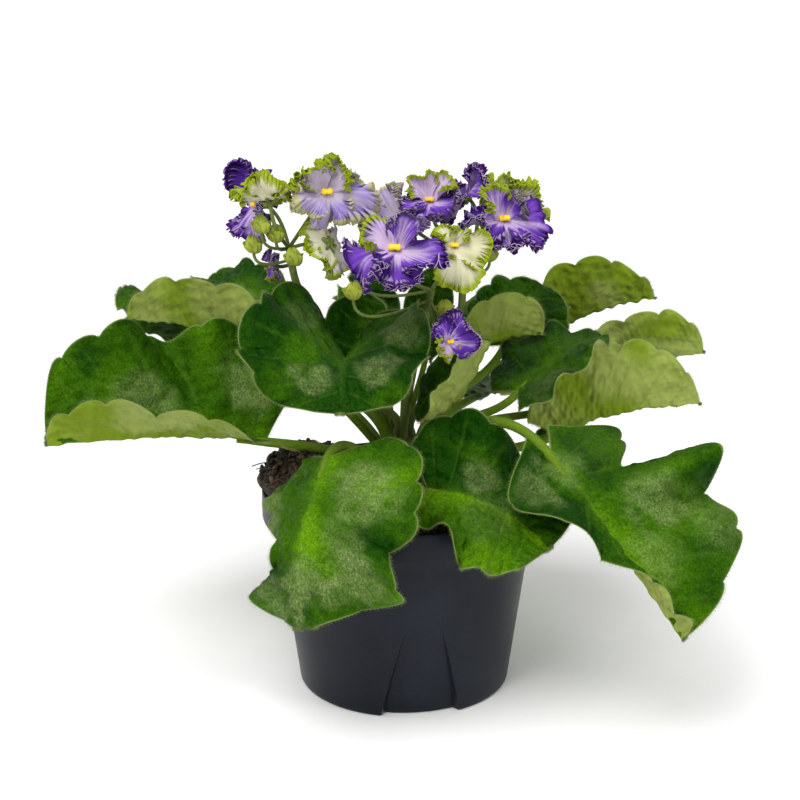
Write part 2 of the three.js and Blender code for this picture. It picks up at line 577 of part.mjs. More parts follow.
// A point at a share s from throat to edge and a turn round the bloom. Each lobe's edge is a
// power of a cosine; lobes rise from a flat throat by their lift and curl, eased in between.
function corollaPoint(bloom, s, turn) {
  const { centre, face, level, top } = bloomFrame(bloom);
  const spot = (turn * LOBES - 0.5 + LOBES) % LOBES;
  const share = spot % 1;
  const lobe = bloom.lobes[Math.floor(spot)];
  const next = bloom.lobes[Math.ceil(spot) % LOBES];
  const edgeOf = ([length], apart) => length * Math.max(Math.cos(apart * TAU / LOBES), 0) ** LOBE_ROUND;
  const reach = bloom.size * s * Math.max(edgeOf(lobe, share), edgeOf(next, 1 - share));
  const tiltOf = ([, lift, curl]) => deg(lift + curl * s / 2);
  const tilt = lerp(tiltOf(lobe), tiltOf(next), THREE.MathUtils.smoothstep(share, 0.2, 0.8));
  const flat = Math.min(reach, THROAT * bloom.size);
  const angle = turn * TAU + deg(bloom.roll ?? 0);
  const frill = FRILL_HEIGHT * bloom.size * s ** 5 * Math.sin(turn * TAU * FRILLS);
  const r = flat + (reach - flat) * Math.cos(tilt) - frill * Math.sin(tilt);
  const height = (reach - flat) * Math.sin(tilt) + frill * Math.cos(tilt);
  return centre.clone()
    .addScaledVector(top, r * Math.cos(angle))
    .addScaledVector(level, r * Math.sin(angle))
    .addScaledVector(face, height);
}

function corolla(bloom) {
  const columns = 2 * FRILLS;
  const radial = [0, THROAT, 0.6, 1];
  const surface = (share, turn) =>
    corollaPoint(bloom, radial[Math.round(share * 3)], (turn + 0.5 / columns) % 1);
  return geometryOf(solidOf(sheet(3, columns, surface, PETAL_THICKNESS, () => 0, true)));
}

function anthers(bloom) {
  const { centre, face, level, top } = bloomFrame(bloom);
  const radius = 0.06 * bloom.size + 0.5;
  const rise = PETAL_THICKNESS / 2 + CLEARANCE + 0.95 * radius;
  const pair = [-1, 1].map((side) => {
    const sac = new THREE.IcosahedronGeometry(radius, 0);
    const place = centre.clone()
      .addScaledVector(face, rise)
      .addScaledVector(level, side * radius * 0.7)
      .addScaledVector(top, -0.3 * radius);
    return sac.translate(place.x, place.y, place.z);
  });
  return join(pair);
}

// ---------------------------------------------------------------- flower stalks
// Each stalk rises from the crown's top and carries a pedicel and calyx for each bloom, and
// buds. Points are millimetres.
const STALKS = {
  left: { root: [-3.4, 1.2], radius: 1.9,
    points: [[-20, 13, 136], [-38, 15, 160], [-48, 9, 185], [-51, 4, 203]],
    buds: [[-62, -9, 216], [-66, -4, 206], [-56, -5, 211], [-48, -11, 202]] },
  right: { root: [3.4, 1.8], radius: 1.9,
    points: [[16, 3, 145], [25, 4, 172], [26, 5, 196]],
    buds: [[28, -8, 197], [38, 6, 200]] },
  front: { root: [0.2, -3.8], radius: 1.7,
    points: [[4, -9, 150], [9, -11, 173], [12, -13, 188]],
    buds: [[-20, -18, 200], [-22, -20, 189], [18, -24, 182]] },
};
const BUD_RADIUS = 3.2;
const CALYX_RADIUS = 2.6;
const CALYX_LENGTH = 4;
const PEDICEL_RADIUS = 0.9;
const BUD_PEDICEL_RADIUS = 0.8;

function pedicelTo(stalk, place, face, radius) {
  const foot = vec(...stalk.points[stalk.points.length - 1]);
  const below = vec(...stalk.points[stalk.points.length - 2]).lerp(foot, 0.7);
  const from = place.z < foot.z + 4 ? below : foot;
  const hold = place.clone().addScaledVector(face, -0.45 * from.distanceTo(place));
  const curve = new THREE.QuadraticBezierCurve3(from, hold, place);
  return stemAlong(curve.getPoints(3), radius, 4, 3);
}

function flowerStalk(name) {
  const stalk = STALKS[name];
  const root = vec(stalk.root[0], stalk.root[1], CROWN_TOP + CLEARANCE);
  const points = [root, root.clone().setZ(CROWN_TOP + 8), ...stalk.points.map((p) => vec(...p))];
  const pieces = [stemAlong(points, stalk.radius, 5, 7)];
  for (const bloom of Object.values(BLOOMS).filter((one) => one.stalk === name)) {
    const { centre, face } = bloomFrame(bloom);
    const back = centre.clone().addScaledVector(face, -(PETAL_THICKNESS / 2 + CLEARANCE));
    pieces.push(pedicelTo(stalk, back, face, PEDICEL_RADIUS));
    const calyx = new THREE.ConeGeometry(CALYX_RADIUS, CALYX_LENGTH, 5);
    const backwards = face.clone().negate();
    calyx.applyQuaternion(new THREE.Quaternion().setFromUnitVectors(vec(0, 1, 0), backwards));
    const seat = back.clone().addScaledVector(backwards, CALYX_LENGTH / 2 + 0.1);
    pieces.push(calyx.translate(seat.x, seat.y, seat.z));
  }
  for (const bud of stalk.buds) {
    const place = vec(...bud);
    pieces.push(pedicelTo(stalk, place, UP, BUD_PEDICEL_RADIUS));
    pieces.push(new THREE.IcosahedronGeometry(BUD_RADIUS, 0).translate(...bud));
  }
  return join(pieces);
}

// ---------------------------------------------------------------- the plant
const group = new THREE.Group();

function addPiece(name, geometry, color, roughness) {
  const mesh = new THREE.Mesh(geometry, new THREE.MeshStandardMaterial({ color, roughness, metalness: 0 }));
  mesh.name = name;
  group.add(mesh);
}

addPiece('pot', pot(), 0x35383f, 0.6);
addPiece('soil', soil(), 0x2b2018, 0.95);
addPiece('crown', crown(), 0x7d8f3f, 0.7);
for (const [name, leaf] of Object.entries(LEAVES)) addPiece(name, leafBody(leaf), 0x3d7a1e, 0.5);
for (const name of Object.keys(STALKS)) addPiece(`flower_stalk_${name}`, flowerStalk(name), 0x86a03a, 0.6);
for (const [name, bloom] of Object.entries(BLOOMS)) {
  addPiece(`bloom_${name}`, corolla(bloom), TINTS[bloom.tint], 0.55);
  addPiece(`anthers_${name}`, anthers(bloom), 0xd9a521, 0.5);
}

export default group;
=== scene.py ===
"""The looks of a potted african violet: waved hairy leaves, frilled blooms, peat and a plastic pot.

Metres, +Z up, the front of the plant towards -Y. Tables of the plant's own pieces are in
millimetres and degrees. Every skin is a function of two parameters on a grid; hairs and
crumbs are small solids scattered over the skins.
"""
import math

import bpy
import numpy as np
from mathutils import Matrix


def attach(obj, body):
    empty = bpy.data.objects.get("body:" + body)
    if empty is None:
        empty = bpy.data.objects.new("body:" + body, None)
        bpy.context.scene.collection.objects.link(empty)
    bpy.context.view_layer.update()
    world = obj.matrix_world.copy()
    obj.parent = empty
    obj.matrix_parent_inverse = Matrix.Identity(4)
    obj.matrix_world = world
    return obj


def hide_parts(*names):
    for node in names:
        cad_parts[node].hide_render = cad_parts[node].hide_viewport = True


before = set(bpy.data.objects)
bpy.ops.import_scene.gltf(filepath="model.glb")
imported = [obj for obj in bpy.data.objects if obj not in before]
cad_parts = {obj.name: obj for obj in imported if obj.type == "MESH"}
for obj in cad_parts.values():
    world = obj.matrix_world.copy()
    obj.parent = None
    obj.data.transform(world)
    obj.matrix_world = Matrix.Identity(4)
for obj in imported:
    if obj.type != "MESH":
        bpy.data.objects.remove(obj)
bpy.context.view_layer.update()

MM = 0.001
TAU = 2 * math.pi
BODY = "root"
UP = np.array([0.0, 0.0, 1.0])


# ---------------------------------------------------------------- camera and light
def placed(name, data):
    """A new object of the data, at the origin of the scene."""
    made = bpy.data.objects.new(name, data)
    bpy.context.scene.collection.objects.link(made)
    return made


def photo_camera():
    """A long lens in front of the plant and above it, looking down at 17 degrees."""
    data = bpy.data.cameras.new("photo_camera")
    data.lens = 85.3
    data.sensor_width = 36.0
    camera = placed("photo_camera", data)
    camera.location = (0.0, -0.8176, 0.3866)
    camera.rotation_euler = (math.radians(72.82), 0.0, math.radians(0.13))
    bpy.context.scene.camera = camera


def lamp(name, kind, energy, place, aim, **settings):
    """A lamp at a place, which points its own -Z at its aim."""
    data = bpy.data.lights.new(name, kind)
    data.energy = energy
    for key, value in settings.items():
        setattr(data, key, value)
    light = placed(name, data)
    light.location = place
    way = np.array(place) - np.array(aim)
    tilt = math.atan2(math.hypot(way[0], way[1]), way[2])
    light.rotation_euler = (tilt, 0.0, math.atan2(way[0], -way[1]))


def studio_world():
    """White all round, and brighter to the camera than to the plant."""
    world = bpy.data.worlds.new("studio")
    world.use_nodes = True
    tree = world.node_tree
    background = tree.nodes["Background"]
    background.inputs["Color"].default_value = (1.0, 1.0, 1.0, 1.0)
    seen = tree.nodes.new("ShaderNodeLightPath")
    strength = tree.nodes.new("ShaderNodeMapRange")
    strength.inputs["To Min"].default_value = 0.55
    strength.inputs["To Max"].default_value = 1.0
    tree.links.new(seen.outputs["Is Camera Ray"], strength.inputs["Value"])
    tree.links.new(strength.outputs["Result"], background.inputs["Strength"])
    bpy.context.scene.world = world


photo_camera()
lamp("sky_light", "SUN", 2.1, (-0.25, -0.35, 1.0), (0, 0, 0), angle=math.radians(50))
lamp("key_light", "AREA", 7, (-0.35, -0.9, 1.15), (0, 0, 0.12), shape="DISK", size=0.7)
lamp("side_light", "AREA", 4, (1.1, -0.6, 0.5), (0, 0, 0.1), shape="DISK", size=0.5)
studio_world()
bpy.context.scene.view_settings.view_transform = "Standard"


# ---------------------------------------------------------------- numbers and meshes
def unit(a):
    return a / np.maximum(np.linalg.norm(a, axis=-1, keepdims=True), 1e-12)


def mm(values):
    return np.asarray(values, float) * MM


def ease(low, high, x):
    """0 below low, 1 above high, and a smooth S between."""
    share = np.clip((x - low) / (high - low), 0, 1)
    return share * share * (3 - 2 * share)


def towards(azimuth, rise):
    azimuth, rise = math.radians(azimuth), math.radians(rise)
    level = math.cos(rise)
    return np.array([math.cos(azimuth) * level, math.sin(azimuth) * level, math.sin(rise)])


def waves(points, length, seed, count=10):
    """A smooth random field of about +-1: a sum of sines along random directions."""
    rng = np.random.default_rng(seed)
    ways = unit(rng.normal(size=(count, 3))) * TAU / length * rng.uniform(0.7, 1.4, (count, 1))
    return np.sin(points @ ways.T + rng.uniform(0, TAU, count)).sum(-1) * math.sqrt(2 / count)


def grid_faces(index):
    """Quads between neighbours of a grid of point numbers. A pole is a row of one number,
    and its quads become triangles, whose fourth corner is -1."""
    quads = np.stack([index[:-1, :-1], index[1:, :-1], index[1:, 1:], index[:-1, 1:]], -1).reshape(-1, 4)
    first = quads[:, 0] == quads[:, 3]
    quads[first, 3] = -1
    last = quads[:, 1] == quads[:, 2]
    quads[last] = np.column_stack([quads[last][:, [0, 1, 3]], np.full(last.sum(), -1)])
    return quads


def tidy_corners(faces):
    """Moves a missing corner to the end of its row."""
    return np.take_along_axis(faces, np.argsort(faces < 0, axis=1, kind="stable"), axis=1)


def ball_faces(rows, columns, flip=False):
    """Faces of rings that wrap round, closed by a first point and a last one."""
    index = np.arange(rows * columns).reshape(rows, columns) + 1
    index = np.column_stack([index, index[:, 0]])
    faces = grid_faces(np.pad(index, ((1, 1), (0, 0)), constant_values=((0, rows * columns + 1), (0, 0))))
    return tidy_corners(faces[:, ::-1]) if flip else faces


class Shape:
    """Closed surfaces gathered into one mesh, with named values at their points."""

    def __init__(self):
        self.points, self.faces, self.values, self.count = [], [], [], 0

    def add(self, points, faces, **values):
        points = points.reshape(-1, 3)
        self.points.append(points)
        self.faces.append(np.where(faces < 0, -1, faces + self.count))
        self.values.append({k: np.broadcast_to(v, len(points)) for k, v in values.items()})
        self.count += len(points)

    def object(self, name, material=None, smooth=True, crease=None):
        points, faces = np.concatenate(self.points), np.concatenate(self.faces)
        corners = faces[faces >= 0]
        totals = (faces >= 0).sum(1)
        mesh = bpy.data.meshes.new(name)
        mesh.vertices.add(len(points))
        mesh.vertices.foreach_set("co", points.ravel())
        mesh.loops.add(len(corners))
        mesh.loops.foreach_set("vertex_index", corners.astype(np.int32))
        mesh.polygons.add(len(faces))
        mesh.polygons.foreach_set("loop_start", (np.cumsum(totals) - totals).astype(np.int32))
        mesh.update(calc_edges=True)
        mesh.polygons.foreach_set("use_smooth", np.full(len(faces), smooth))
        if crease:
            mesh.set_sharp_from_angle(angle=math.radians(crease))
        for key in sorted({key for values in self.values for key in values}):
            field = [v.get(key, np.zeros(len(p))) for v, p in zip(self.values, self.points)]
            layer = mesh.attributes.new(key, "FLOAT", "POINT")
            layer.data.foreach_set("value", np.concatenate(field).astype(np.float32))
        if material:
            mesh.materials.append(material)
        return placed(name, mesh)

    def piece(self, name, material, slot, nodes=(), crease=None):
        """Makes the object, rides it on the body and hides the imported parts of the nodes it stands for.
        """
        made = self.object(name, material, crease=crease)
        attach(made, BODY)
        if nodes:
            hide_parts(*nodes)
        return made


def surface_normals(points, wrap=False):
    """Normals of a grid: the way along the rows crossed with the way along the columns."""
    down = np.gradient(points, axis=0)
    if wrap:
        across = np.roll(points, -1, 1) - np.roll(points, 1, 1)
    else:
        across = np.gradient(points, axis=1)
    return unit(np.cross(down, across))


def tube(path, radius, sides):
    """A closed tube: rings of the radius about a path of points, ending in a pole each way."""
    way = unit(np.gradient(path, axis=0))
    guide = np.eye(3)[np.argmin(np.abs(way).mean(0))]
    side = unit(np.cross(way, guide))
    other = np.cross(way, side)
    angle = (np.arange(sides) * TAU / sides)[None, :, None]
    radius = np.broadcast_to(radius, len(path))[:, None, None]
    rings = path[:, None] + (side[:, None] * np.cos(angle) + other[:, None] * np.sin(angle)) * radius
    points = np.concatenate([path[:1], rings.reshape(-1, 3), path[-1:]])
    return points, ball_faces(len(path), sides, flip=True), rings


def bezier(points, steps):
    """A cubic Bezier curve through four points' hull."""
    u = np.linspace(0, 1, steps)[:, None]
    a, b, c, d = points
    return (1 - u) ** 3 * a + 3 * u * (1 - u) ** 2 * b + 3 * u * u * (1 - u) * c + u ** 3 * d


def spline(knots, steps):
    """A Catmull-Rom curve through its knots, of evenly shared steps."""
    knots = np.asarray(knots, float)
    ends = np.concatenate([[2 * knots[0] - knots[1]], knots, [2 * knots[-1] - knots[-2]]])
    s = np.linspace(0, len(knots) - 1 - 1e-9, steps)
    k = s.astype(int)
    u = (s - k)[:, None]
    a, b, c, d = ends[k], ends[k + 1], ends[k + 2], ends[k + 3]
    bend = (2 * a - 5 * b + 4 * c - d) * u ** 2 + (3 * b - a - 3 * c + d) * u ** 3
    return 0.5 * (2 * b + (c - a) * u + bend)


def hairs(shape, roots, ways, length, width, rng, **values):
    """Three-sided spikes from roots along their ways, each a little turned and shortened."""
    count = len(roots)
    ways = unit(ways + 0.35 * rng.normal(size=ways.shape))
    side = unit(np.cross(ways, rng.normal(size=ways.shape)))
    other = np.cross(ways, side)
    reach = length * rng.uniform(0.5, 1.15, (count, 1))
    turns = np.arange(3) * TAU / 3
    foot = side[:, None] * np.cos(turns)[None, :, None] + other[:, None] * np.sin(turns)[None, :, None]
    feet = (roots - ways * 0.1 * reach)[:, None] + foot * width / 2
    points = np.concatenate([feet, (roots + ways * reach)[:, None]], axis=1)
    pattern = np.array([[0, 2, 1, -1], [0, 1, 3, -1], [1, 2, 3, -1], [2, 0, 3, -1]])
    faces = pattern[None] + 4 * np.arange(count)[:, None, None]
    faces[np.broadcast_to(pattern[None] < 0, faces.shape)] = -1
    shape.add(points, faces.reshape(-1, 4), **values)


# ---------------------------------------------------------------- shader nodes
MIX_SHARE, MIX_FIRST, MIX_SECOND, MIX_RESULT = 0, 6, 7, 2
BLACK, WHITE = (0, 0, 0), (1, 1, 1)


class Wiring:
    """Adds nodes to a tree. An input is a number, a colour of three or another node's socket."""

    def __init__(self, tree):
        self.tree = tree

    def feed(self, node, inputs):
        for key, value in inputs.items():
            socket = node.inputs[key]
            if isinstance(value, bpy.types.NodeSocket):
                self.tree.links.new(value, socket)
            else:
                socket.default_value = (*value, 1.0) if socket.type == "RGBA" else value
        return node

    def node(self, kind, inputs=(), **settings):
        node = self.tree.nodes.new("ShaderNode" + kind)
        for key, value in settings.items():
            setattr(node, key, value)
        return self.feed(node, dict(inputs))

    def math(self, operation, first, second, clamp=False):
        return self.node("Math", {0: first, 1: second}, operation=operation, use_clamp=clamp).outputs[0]

    def plus(self, first, second):
        return self.math("ADD", first, second)

    def minus(self, first, second):
        return self.math("SUBTRACT", first, second)

    def times(self, first, second, clamp=False):
        return self.math("MULTIPLY", first, second, clamp)

    def about(self, value, share):
        """A share of how far the value is from a half."""
        return self.times(self.minus(value, 0.5), share)

    def mix(self, share, first, second):
        inputs = {MIX_SHARE: share, MIX_FIRST: first, MIX_SECOND: second}
        return self.node("Mix", inputs, data_type="RGBA").outputs[MIX_RESULT]

    def ramp(self, value, low, high, to_low=0.0, to_high=1.0):
        inputs = {"Value": value, "From Min": low, "From Max": high, "To Min": to_low, "To Max": to_high}
        return self.node("MapRange", inputs, interpolation_type="SMOOTHSTEP").outputs["Result"]

    def noise(self, vector, scale, detail=3.0, rough=0.55, warp=0.0):
        inputs = {"Vector": vector, "Scale": scale, "Detail": detail, "Roughness": rough}
        inputs["Distortion"] = warp
        return self.node("TexNoise", inputs).outputs["Fac"]

    def read(self, name):
        return self.node("Attribute", attribute_name=name).outputs["Fac"]

    def bump(self, height, strength, distance):
        inputs = {"Height": height, "Strength": strength, "Distance": distance}
        return self.node("Bump", inputs).outputs["Normal"]

    def mottle(self, at, scale, first, second, shift=0.0):
        inputs = {"Vector": at, "Scale": scale, "First": first, "Second": second, "Shift": shift}
        return self.feed(self.node("Group", node_tree=MOTTLE), inputs).outputs

    # The fine hairs' painted sheen: a mask and a height.
    def down(self, at, amount, scale):
        inputs = {"Vector": at, "Amount": amount, "Scale": scale}
        return self.feed(self.node("Group", node_tree=DOWN_SHEEN), inputs).outputs


def effect(name, inputs, outputs):
    """A shader node group with named inputs and outputs; returns its wiring and two ends."""
    tree = bpy.data.node_groups.new(name, "ShaderNodeTree")
    for way, sockets in (("INPUT", inputs), ("OUTPUT", outputs)):
        for key, kind in sockets.items():
            tree.interface.new_socket(key, in_out=way, socket_type="NodeSocket" + kind)
    return Wiring(tree), tree.nodes.new("NodeGroupInput").outputs, tree.nodes.new("NodeGroupOutput")


def down_sheen_effect():
    """The mask of the fine hairs' painted sheen, where they catch the light: short strokes of
    noise, stretched along the leaf's hairs, laid over soft clouds whose density follows Amount."""
    inputs = {"Vector": "Vector", "Amount": "Float", "Scale": "Float"}
    w, given, result = effect("leaf_down_sheen", inputs, {"Mask": "Float", "Height": "Float"})
    lean = {"Vector": given["Vector"], "Scale": (1.0, 1.5, 0.4), "Rotation": (0.5, 0.3, 0.2)}
    strokes = w.noise(w.node("Mapping", lean).outputs[0], given["Scale"], 3.0, 0.75, 0.5)
    cloud = w.noise(given["Vector"], 130.0, 5.0, 0.65)
    dense = w.times(given["Amount"], w.ramp(cloud, 0.25, 0.65, 0.5, 1.1))
    lit = w.ramp(strokes, 0.34, 0.66, 0.2, 1.0)
    w.feed(result, {"Mask": w.times(lit, dense, clamp=True), "Height": strokes})
    return w.tree


def mottle_effect():
    """Soft patches between two tones, with a little fine grain in them."""
    inputs = {"Vector": "Vector", "Scale": "Float", "First": "Color", "Second": "Color", "Shift": "Float"}
    w, given, result = effect("mottle", inputs, {"Color": "Color", "Value": "Float"})
    broad = w.noise(given["Vector"], given["Scale"], 4.0, 0.6, 0.3)
    grain = w.noise(given["Vector"], w.times(given["Scale"], 14.0), 2.0, 0.6)
    value = w.ramp(w.plus(w.plus(broad, w.about(grain, 0.25)), given["Shift"]), 0.3, 0.7)
    w.feed(result, {"Color": w.mix(value, given["First"], given["Second"]), "Value": value})
    return w.tree


DOWN_SHEEN = down_sheen_effect()
MOTTLE = mottle_effect()


def material(name, **constants):
    """A Principled material; returns it, its wiring, its shader and its Object coordinates."""
    made = bpy.data.materials.new(name)
    made.use_nodes = True
    w = Wiring(made.node_tree)
    shader = made.node_tree.nodes["Principled BSDF"]
    w.feed(shader, {key.replace("_", " "): value for key, value in constants.items()})
    return made, w, shader, w.node("TexCoord").outputs["Object"]


def leaf_material():
    """Deep to yellow green above, the green picked by painted light and shade, with the painted
    sheen of fine down; pale olive below, partly the underside's own colour and partly painted
    light shining through; faint veins, a pale rim.
    """
    made, w, shader, at = material("leaf", Specular_IOR_Level=0.16, Specular_Tint=(0.3, 0.8, 0.05))
    tone, rim, vein, under, down = [w.read(name) for name in ("tone", "rim", "vein", "under", "down")]
    patch = w.mottle(at, 34.0, BLACK, WHITE)["Value"]
    # painted light and shade: from a shaded deep green through to a lit yellow green, with random patches
    lit = w.plus(tone, w.about(patch, 0.35))
    top = w.mix(w.ramp(lit, 0.0, 0.5), (0.001, 0.026, 0.0002), (0.026, 0.084, 0.0005))
    top = w.mix(w.ramp(lit, 0.45, 1.0), top, (0.082, 0.2, 0.001))
    top = w.mix(w.times(vein, 0.45), top, (0.07, 0.16, 0.012))
    # painted sheen: pale grey-green strokes where the fine hairs catch the light
    hair = w.down(at, down, 1500.0)
    top = w.mix(w.times(hair["Mask"], 0.82), top, (0.165, 0.215, 0.075))
    shade = w.ramp(w.noise(at, 1100.0, 3.0, 0.7), 0.3, 0.7, 0.6, 1.4)
    top = w.node("VectorMath", {0: top, 1: shade}, operation="MULTIPLY").outputs[0]
    # underside: partly its own paler olive and partly painted light shining through the leaf
    below = w.mottle(at, 18.0, (0.15, 0.22, 0.012), (0.25, 0.305, 0.07), w.minus(0.45, tone))["Color"]
    below = w.mix(w.times(vein, 0.6), below, (0.1, 0.15, 0.012))
    color = w.mix(w.times(rim, 0.75), w.mix(under, top, below), (0.25, 0.31, 0.1))
    rough = w.plus(w.ramp(patch, 0.0, 1.0, 0.3, 0.5), w.times(under, 0.15))
    cells = w.plus(w.noise(at, 420.0, 2.0, 0.5), w.noise(at, 170.0, 2.0, 0.5, 0.4))
    relief = w.plus(cells, w.times(hair["Height"], 0.5))
    w.feed(shader, {"Base Color": color, "Roughness": rough, "Normal": w.bump(relief, 0.7, 0.0007)})
    return made


def stalk_material(name, first, second):
    """Fleshy green, mottled, with the painted sheen of fine down."""
    made, w, shader, at = material(name, Roughness=0.5, Specular_IOR_Level=0.14)
    color = w.mottle(at, 120.0, first, second)["Color"]
    # painted sheen: pale strokes where the fine hairs catch the light
    hair = w.down(at, 0.6, 1800.0)
    color = w.mix(w.times(hair["Mask"], 0.5), color, (0.3, 0.34, 0.16))
    color = w.mix(w.read("rim"), color, (0.36, 0.42, 0.2))
    w.feed(shader, {"Base Color": color, "Normal": w.bump(hair["Height"], 0.4, 0.0004)})
    return made


FRILL_GREEN = (0.27, 0.34, 0.008)


def petal_material(name, deep, mid, light, fringe):
    """White at the throat and down the lobes' middles, the tint between them, fine veins
    that run outwards, and a frill of its own colour."""
    made, w, shader, at = material(name, Roughness=0.6, Specular_IOR_Level=0.1)
    streak = w.read("streak")
    fine = w.noise(at, 900.0, 3.0, 0.6, 0.6)
    broad = w.noise(at, 170.0, 3.0, 0.6)
    amount = w.plus(w.plus(w.read("ink"), w.about(streak, 0.22)), w.about(broad, 0.5))
    color = w.mix(w.ramp(amount, 0.0, 0.55), light, mid)
    color = w.mix(w.ramp(amount, 0.5, 1.05), color, deep)
    color = w.mix(w.times(w.read("back"), 0.55), color, light)
    edge = w.ramp(w.plus(w.read("frill"), w.about(fine, 0.5)), 0.3, 0.75)
    trim = w.mix(w.ramp(w.read("green"), 0.2, 0.8), fringe, FRILL_GREEN)
    normal = w.bump(w.plus(fine, streak), 0.35, 0.0003)
    w.feed(shader, {"Base Color": w.mix(edge, color, trim), "Normal": normal})
    return made


def anther_material():
    made, w, shader, at = material("anther", Roughness=0.45, Specular_IOR_Level=0.4)
    # random patches between the sacs' own yellow and a darker orange-brown that is painted shade
    color = w.mottle(at, 500.0, (0.55, 0.2, 0.004), (0.95, 0.62, 0.02), 0.12)["Color"]
    w.feed(shader, {"Base Color": color, "Normal": w.bump(w.noise(at, 2200.0), 0.4, 0.0003)})
    return made


def peat_material(name, first, second, shine):
    """Dark crumbs, browner where they stand proud, with a damp glint."""
    made, w, shader, at = material(name, Specular_IOR_Level=0.4)
    crumbs = w.noise(at, 700.0, 5.0, 0.7)
    proud = w.ramp(crumbs, 0.55, 0.75, 0.0, 0.6)
    color = w.mix(proud, w.mottle(at, 260.0, first, second)["Color"], (0.16, 0.09, 0.045))
    rough = w.ramp(crumbs, 0.3, 0.7, shine, 0.95)
    w.feed(shader, {"Base Color": color, "Roughness": rough, "Normal": w.bump(crumbs, 0.9, 0.001)})
    return made


def plastic_material():
    """Dark blue-grey moulded plastic: a satin skin, faint flow marks, scuffs and dust."""
    made, w, shader, at = material("pot_plastic", Specular_IOR_Level=0.16)
    base = w.mottle(at, 30.0, (0.0045, 0.0065, 0.012), (0.009, 0.012, 0.019))
    flow = w.node("Mapping", {"Vector": at, "Scale": (1.0, 1.0, 6.0)}).outputs[0]
    scuffs = w.ramp(w.noise(flow, 90.0, 6.0, 0.75, 1.2), 0.6, 0.78)
    dust = w.ramp(w.noise(at, 1400.0, 2.0, 0.7), 0.66, 0.8)
    color = w.mix(w.times(scuffs, 0.22), base["Color"], (0.05, 0.055, 0.065))
    color = w.mix(w.times(dust, 0.12), color, (0.15, 0.15, 0.15))
    rough = w.plus(w.ramp(base["Value"], 0, 1, 0.34, 0.44), w.times(scuffs, 0.2))
    normal = w.bump(w.plus(w.noise(at, 1700.0, 3.0), scuffs), 0.12, 0.0003)
    w.feed(shader, {"Base Color": color, "Roughness": rough, "Normal": normal})
    return made


def floor_material():
    made, w, shader, at = material("pale_floor", Roughness=0.9, Specular_IOR_Level=0.1)
    color = w.mottle(at, 3.0, (0.93, 0.93, 0.93), (0.96, 0.96, 0.96))["Color"]
    w.feed(shader, {"Base Color": color})
    return made


LEAF = leaf_material()
STALK = stalk_material("stalk", (0.06, 0.1, 0.006), (0.12, 0.17, 0.018))
BUD = stalk_material("bud", (0.17, 0.22, 0.006), (0.34, 0.39, 0.02))
PETALS = {
    "violet": petal_material("petal_violet", (0.055, 0.013, 0.19), (0.135, 0.042, 0.38),
                             (0.5, 0.38, 0.56), (0.035, 0.008, 0.1)),
    "lilac": petal_material("petal_lilac", (0.12, 0.06, 0.32), (0.3, 0.23, 0.5),
                            (0.47, 0.4, 0.5), (0.42, 0.4, 0.2)),
    "pale": petal_material("petal_pale", (0.3, 0.24, 0.38), (0.46, 0.45, 0.26),
                           (0.58, 0.56, 0.4), (0.3, 0.36, 0.015)),
}
ANTHER = anther_material()
PEAT = peat_material("peat", (0.012, 0.008, 0.005), (0.045, 0.026, 0.014), 0.45)
BARK = peat_material("bark", (0.06, 0.03, 0.015), (0.2, 0.11, 0.05), 0.55)
PLASTIC = plastic_material()


def around(radius, angle, z):
    """Points about the axis at angles, in the radius's unit."""
    radius, angle, z = np.broadcast_arrays(radius, angle, z)
    return np.stack([radius * np.cos(angle), radius * np.sin(angle), z], -1)


def floor(sides=64, below=0.0002):
    """A round pale floor, far wider than the view, a hair below the pot's foot."""
    rings = around(np.array([0.3, 1.0, 3.0, 12.0])[:, None], np.arange(sides) * TAU / sides, -below)
    index = np.arange(rings[..., 0].size).reshape(len(rings), sides) + 1
    index = np.concatenate([np.zeros((1, sides + 1), int), np.column_stack([index, index[:, 0]])])
    shape = Shape()
    shape.add(np.concatenate([[[0, 0, -below]], rings.reshape(-1, 3)]), grid_faces(index))
    shape.object("floor", floor_material(), smooth=False)


floor()

# ---------------------------------------------------------------- pot
POT_HEIGHT, COLLAR_UNDERSIDE, PANEL_TOP = 93, 80, 50
FOOT_RADIUS, NECK_RADIUS, COLLAR_RADIUS = 48.5, 59.5, 65
POT_WALL, POT_FLOOR = 1.6, 4.5
PANELS, PANEL_AZIMUTH, PANEL_DEPTH = 3, 279.3, 4
PANEL_HALF_FOOT, PANEL_HALF_TOP = 20.5, 6.6
PAD_RADIUS, RING_INSIDE, CHANNEL, SLOPE = 14, 39.5, 2.5, 1.5
DRAINS, DRAIN_RADIUS, DRAIN_CIRCLE = 6, 4, 27


def pot_radius(z):
    return FOOT_RADIUS + (NECK_RADIUS - FOOT_RADIUS) * z / COLLAR_UNDERSIDE


def pot_columns(z, plain=44, inside=10):
    """Angles of the pot's columns at a height, and the share of the recess they take. The
    columns lean with the slanted sides of the wedge panels, so the steps stay crisp."""
    step = np.concatenate([[-1.06], np.linspace(-1, 1, inside), [1.06]])
    half = PANEL_HALF_FOOT + (PANEL_HALF_TOP - PANEL_HALF_FOOT) * np.clip(z / PANEL_TOP, 0, 1)
    pitch = 360 / PANELS
    edge = 1.06 * half
    rest = edge + (pitch - 2 * edge) * np.arange(1, plain + 1) / (plain + 1)
    one = np.concatenate([step * half, rest])
    recess = np.concatenate([(np.abs(step) < 1.03) * 1.0, np.zeros(plain)])
    starts = PANEL_AZIMUTH + pitch * np.arange(PANELS)
    return np.radians((starts[:, None] + one).ravel()), np.tile(recess, PANELS)


def turned(rings, low, high):
    """A shape of rings of points, in millimetres, closed on the axis at both its heights."""
    points = np.concatenate([[[0, 0, low]], np.concatenate(rings), [[0, 0, high]]])
    shape = Shape()
    shape.add(mm(points), ball_faces(len(rings), len(rings[0]), flip=True))
    return shape


def pot_ring(radius, z, panelled=True):
    angle, recess = pot_columns(z)
    depth = PANEL_DEPTH * np.clip(1 - z / PANEL_TOP, 0, 1) * recess if panelled else 0
    return around(radius - depth, angle, z)


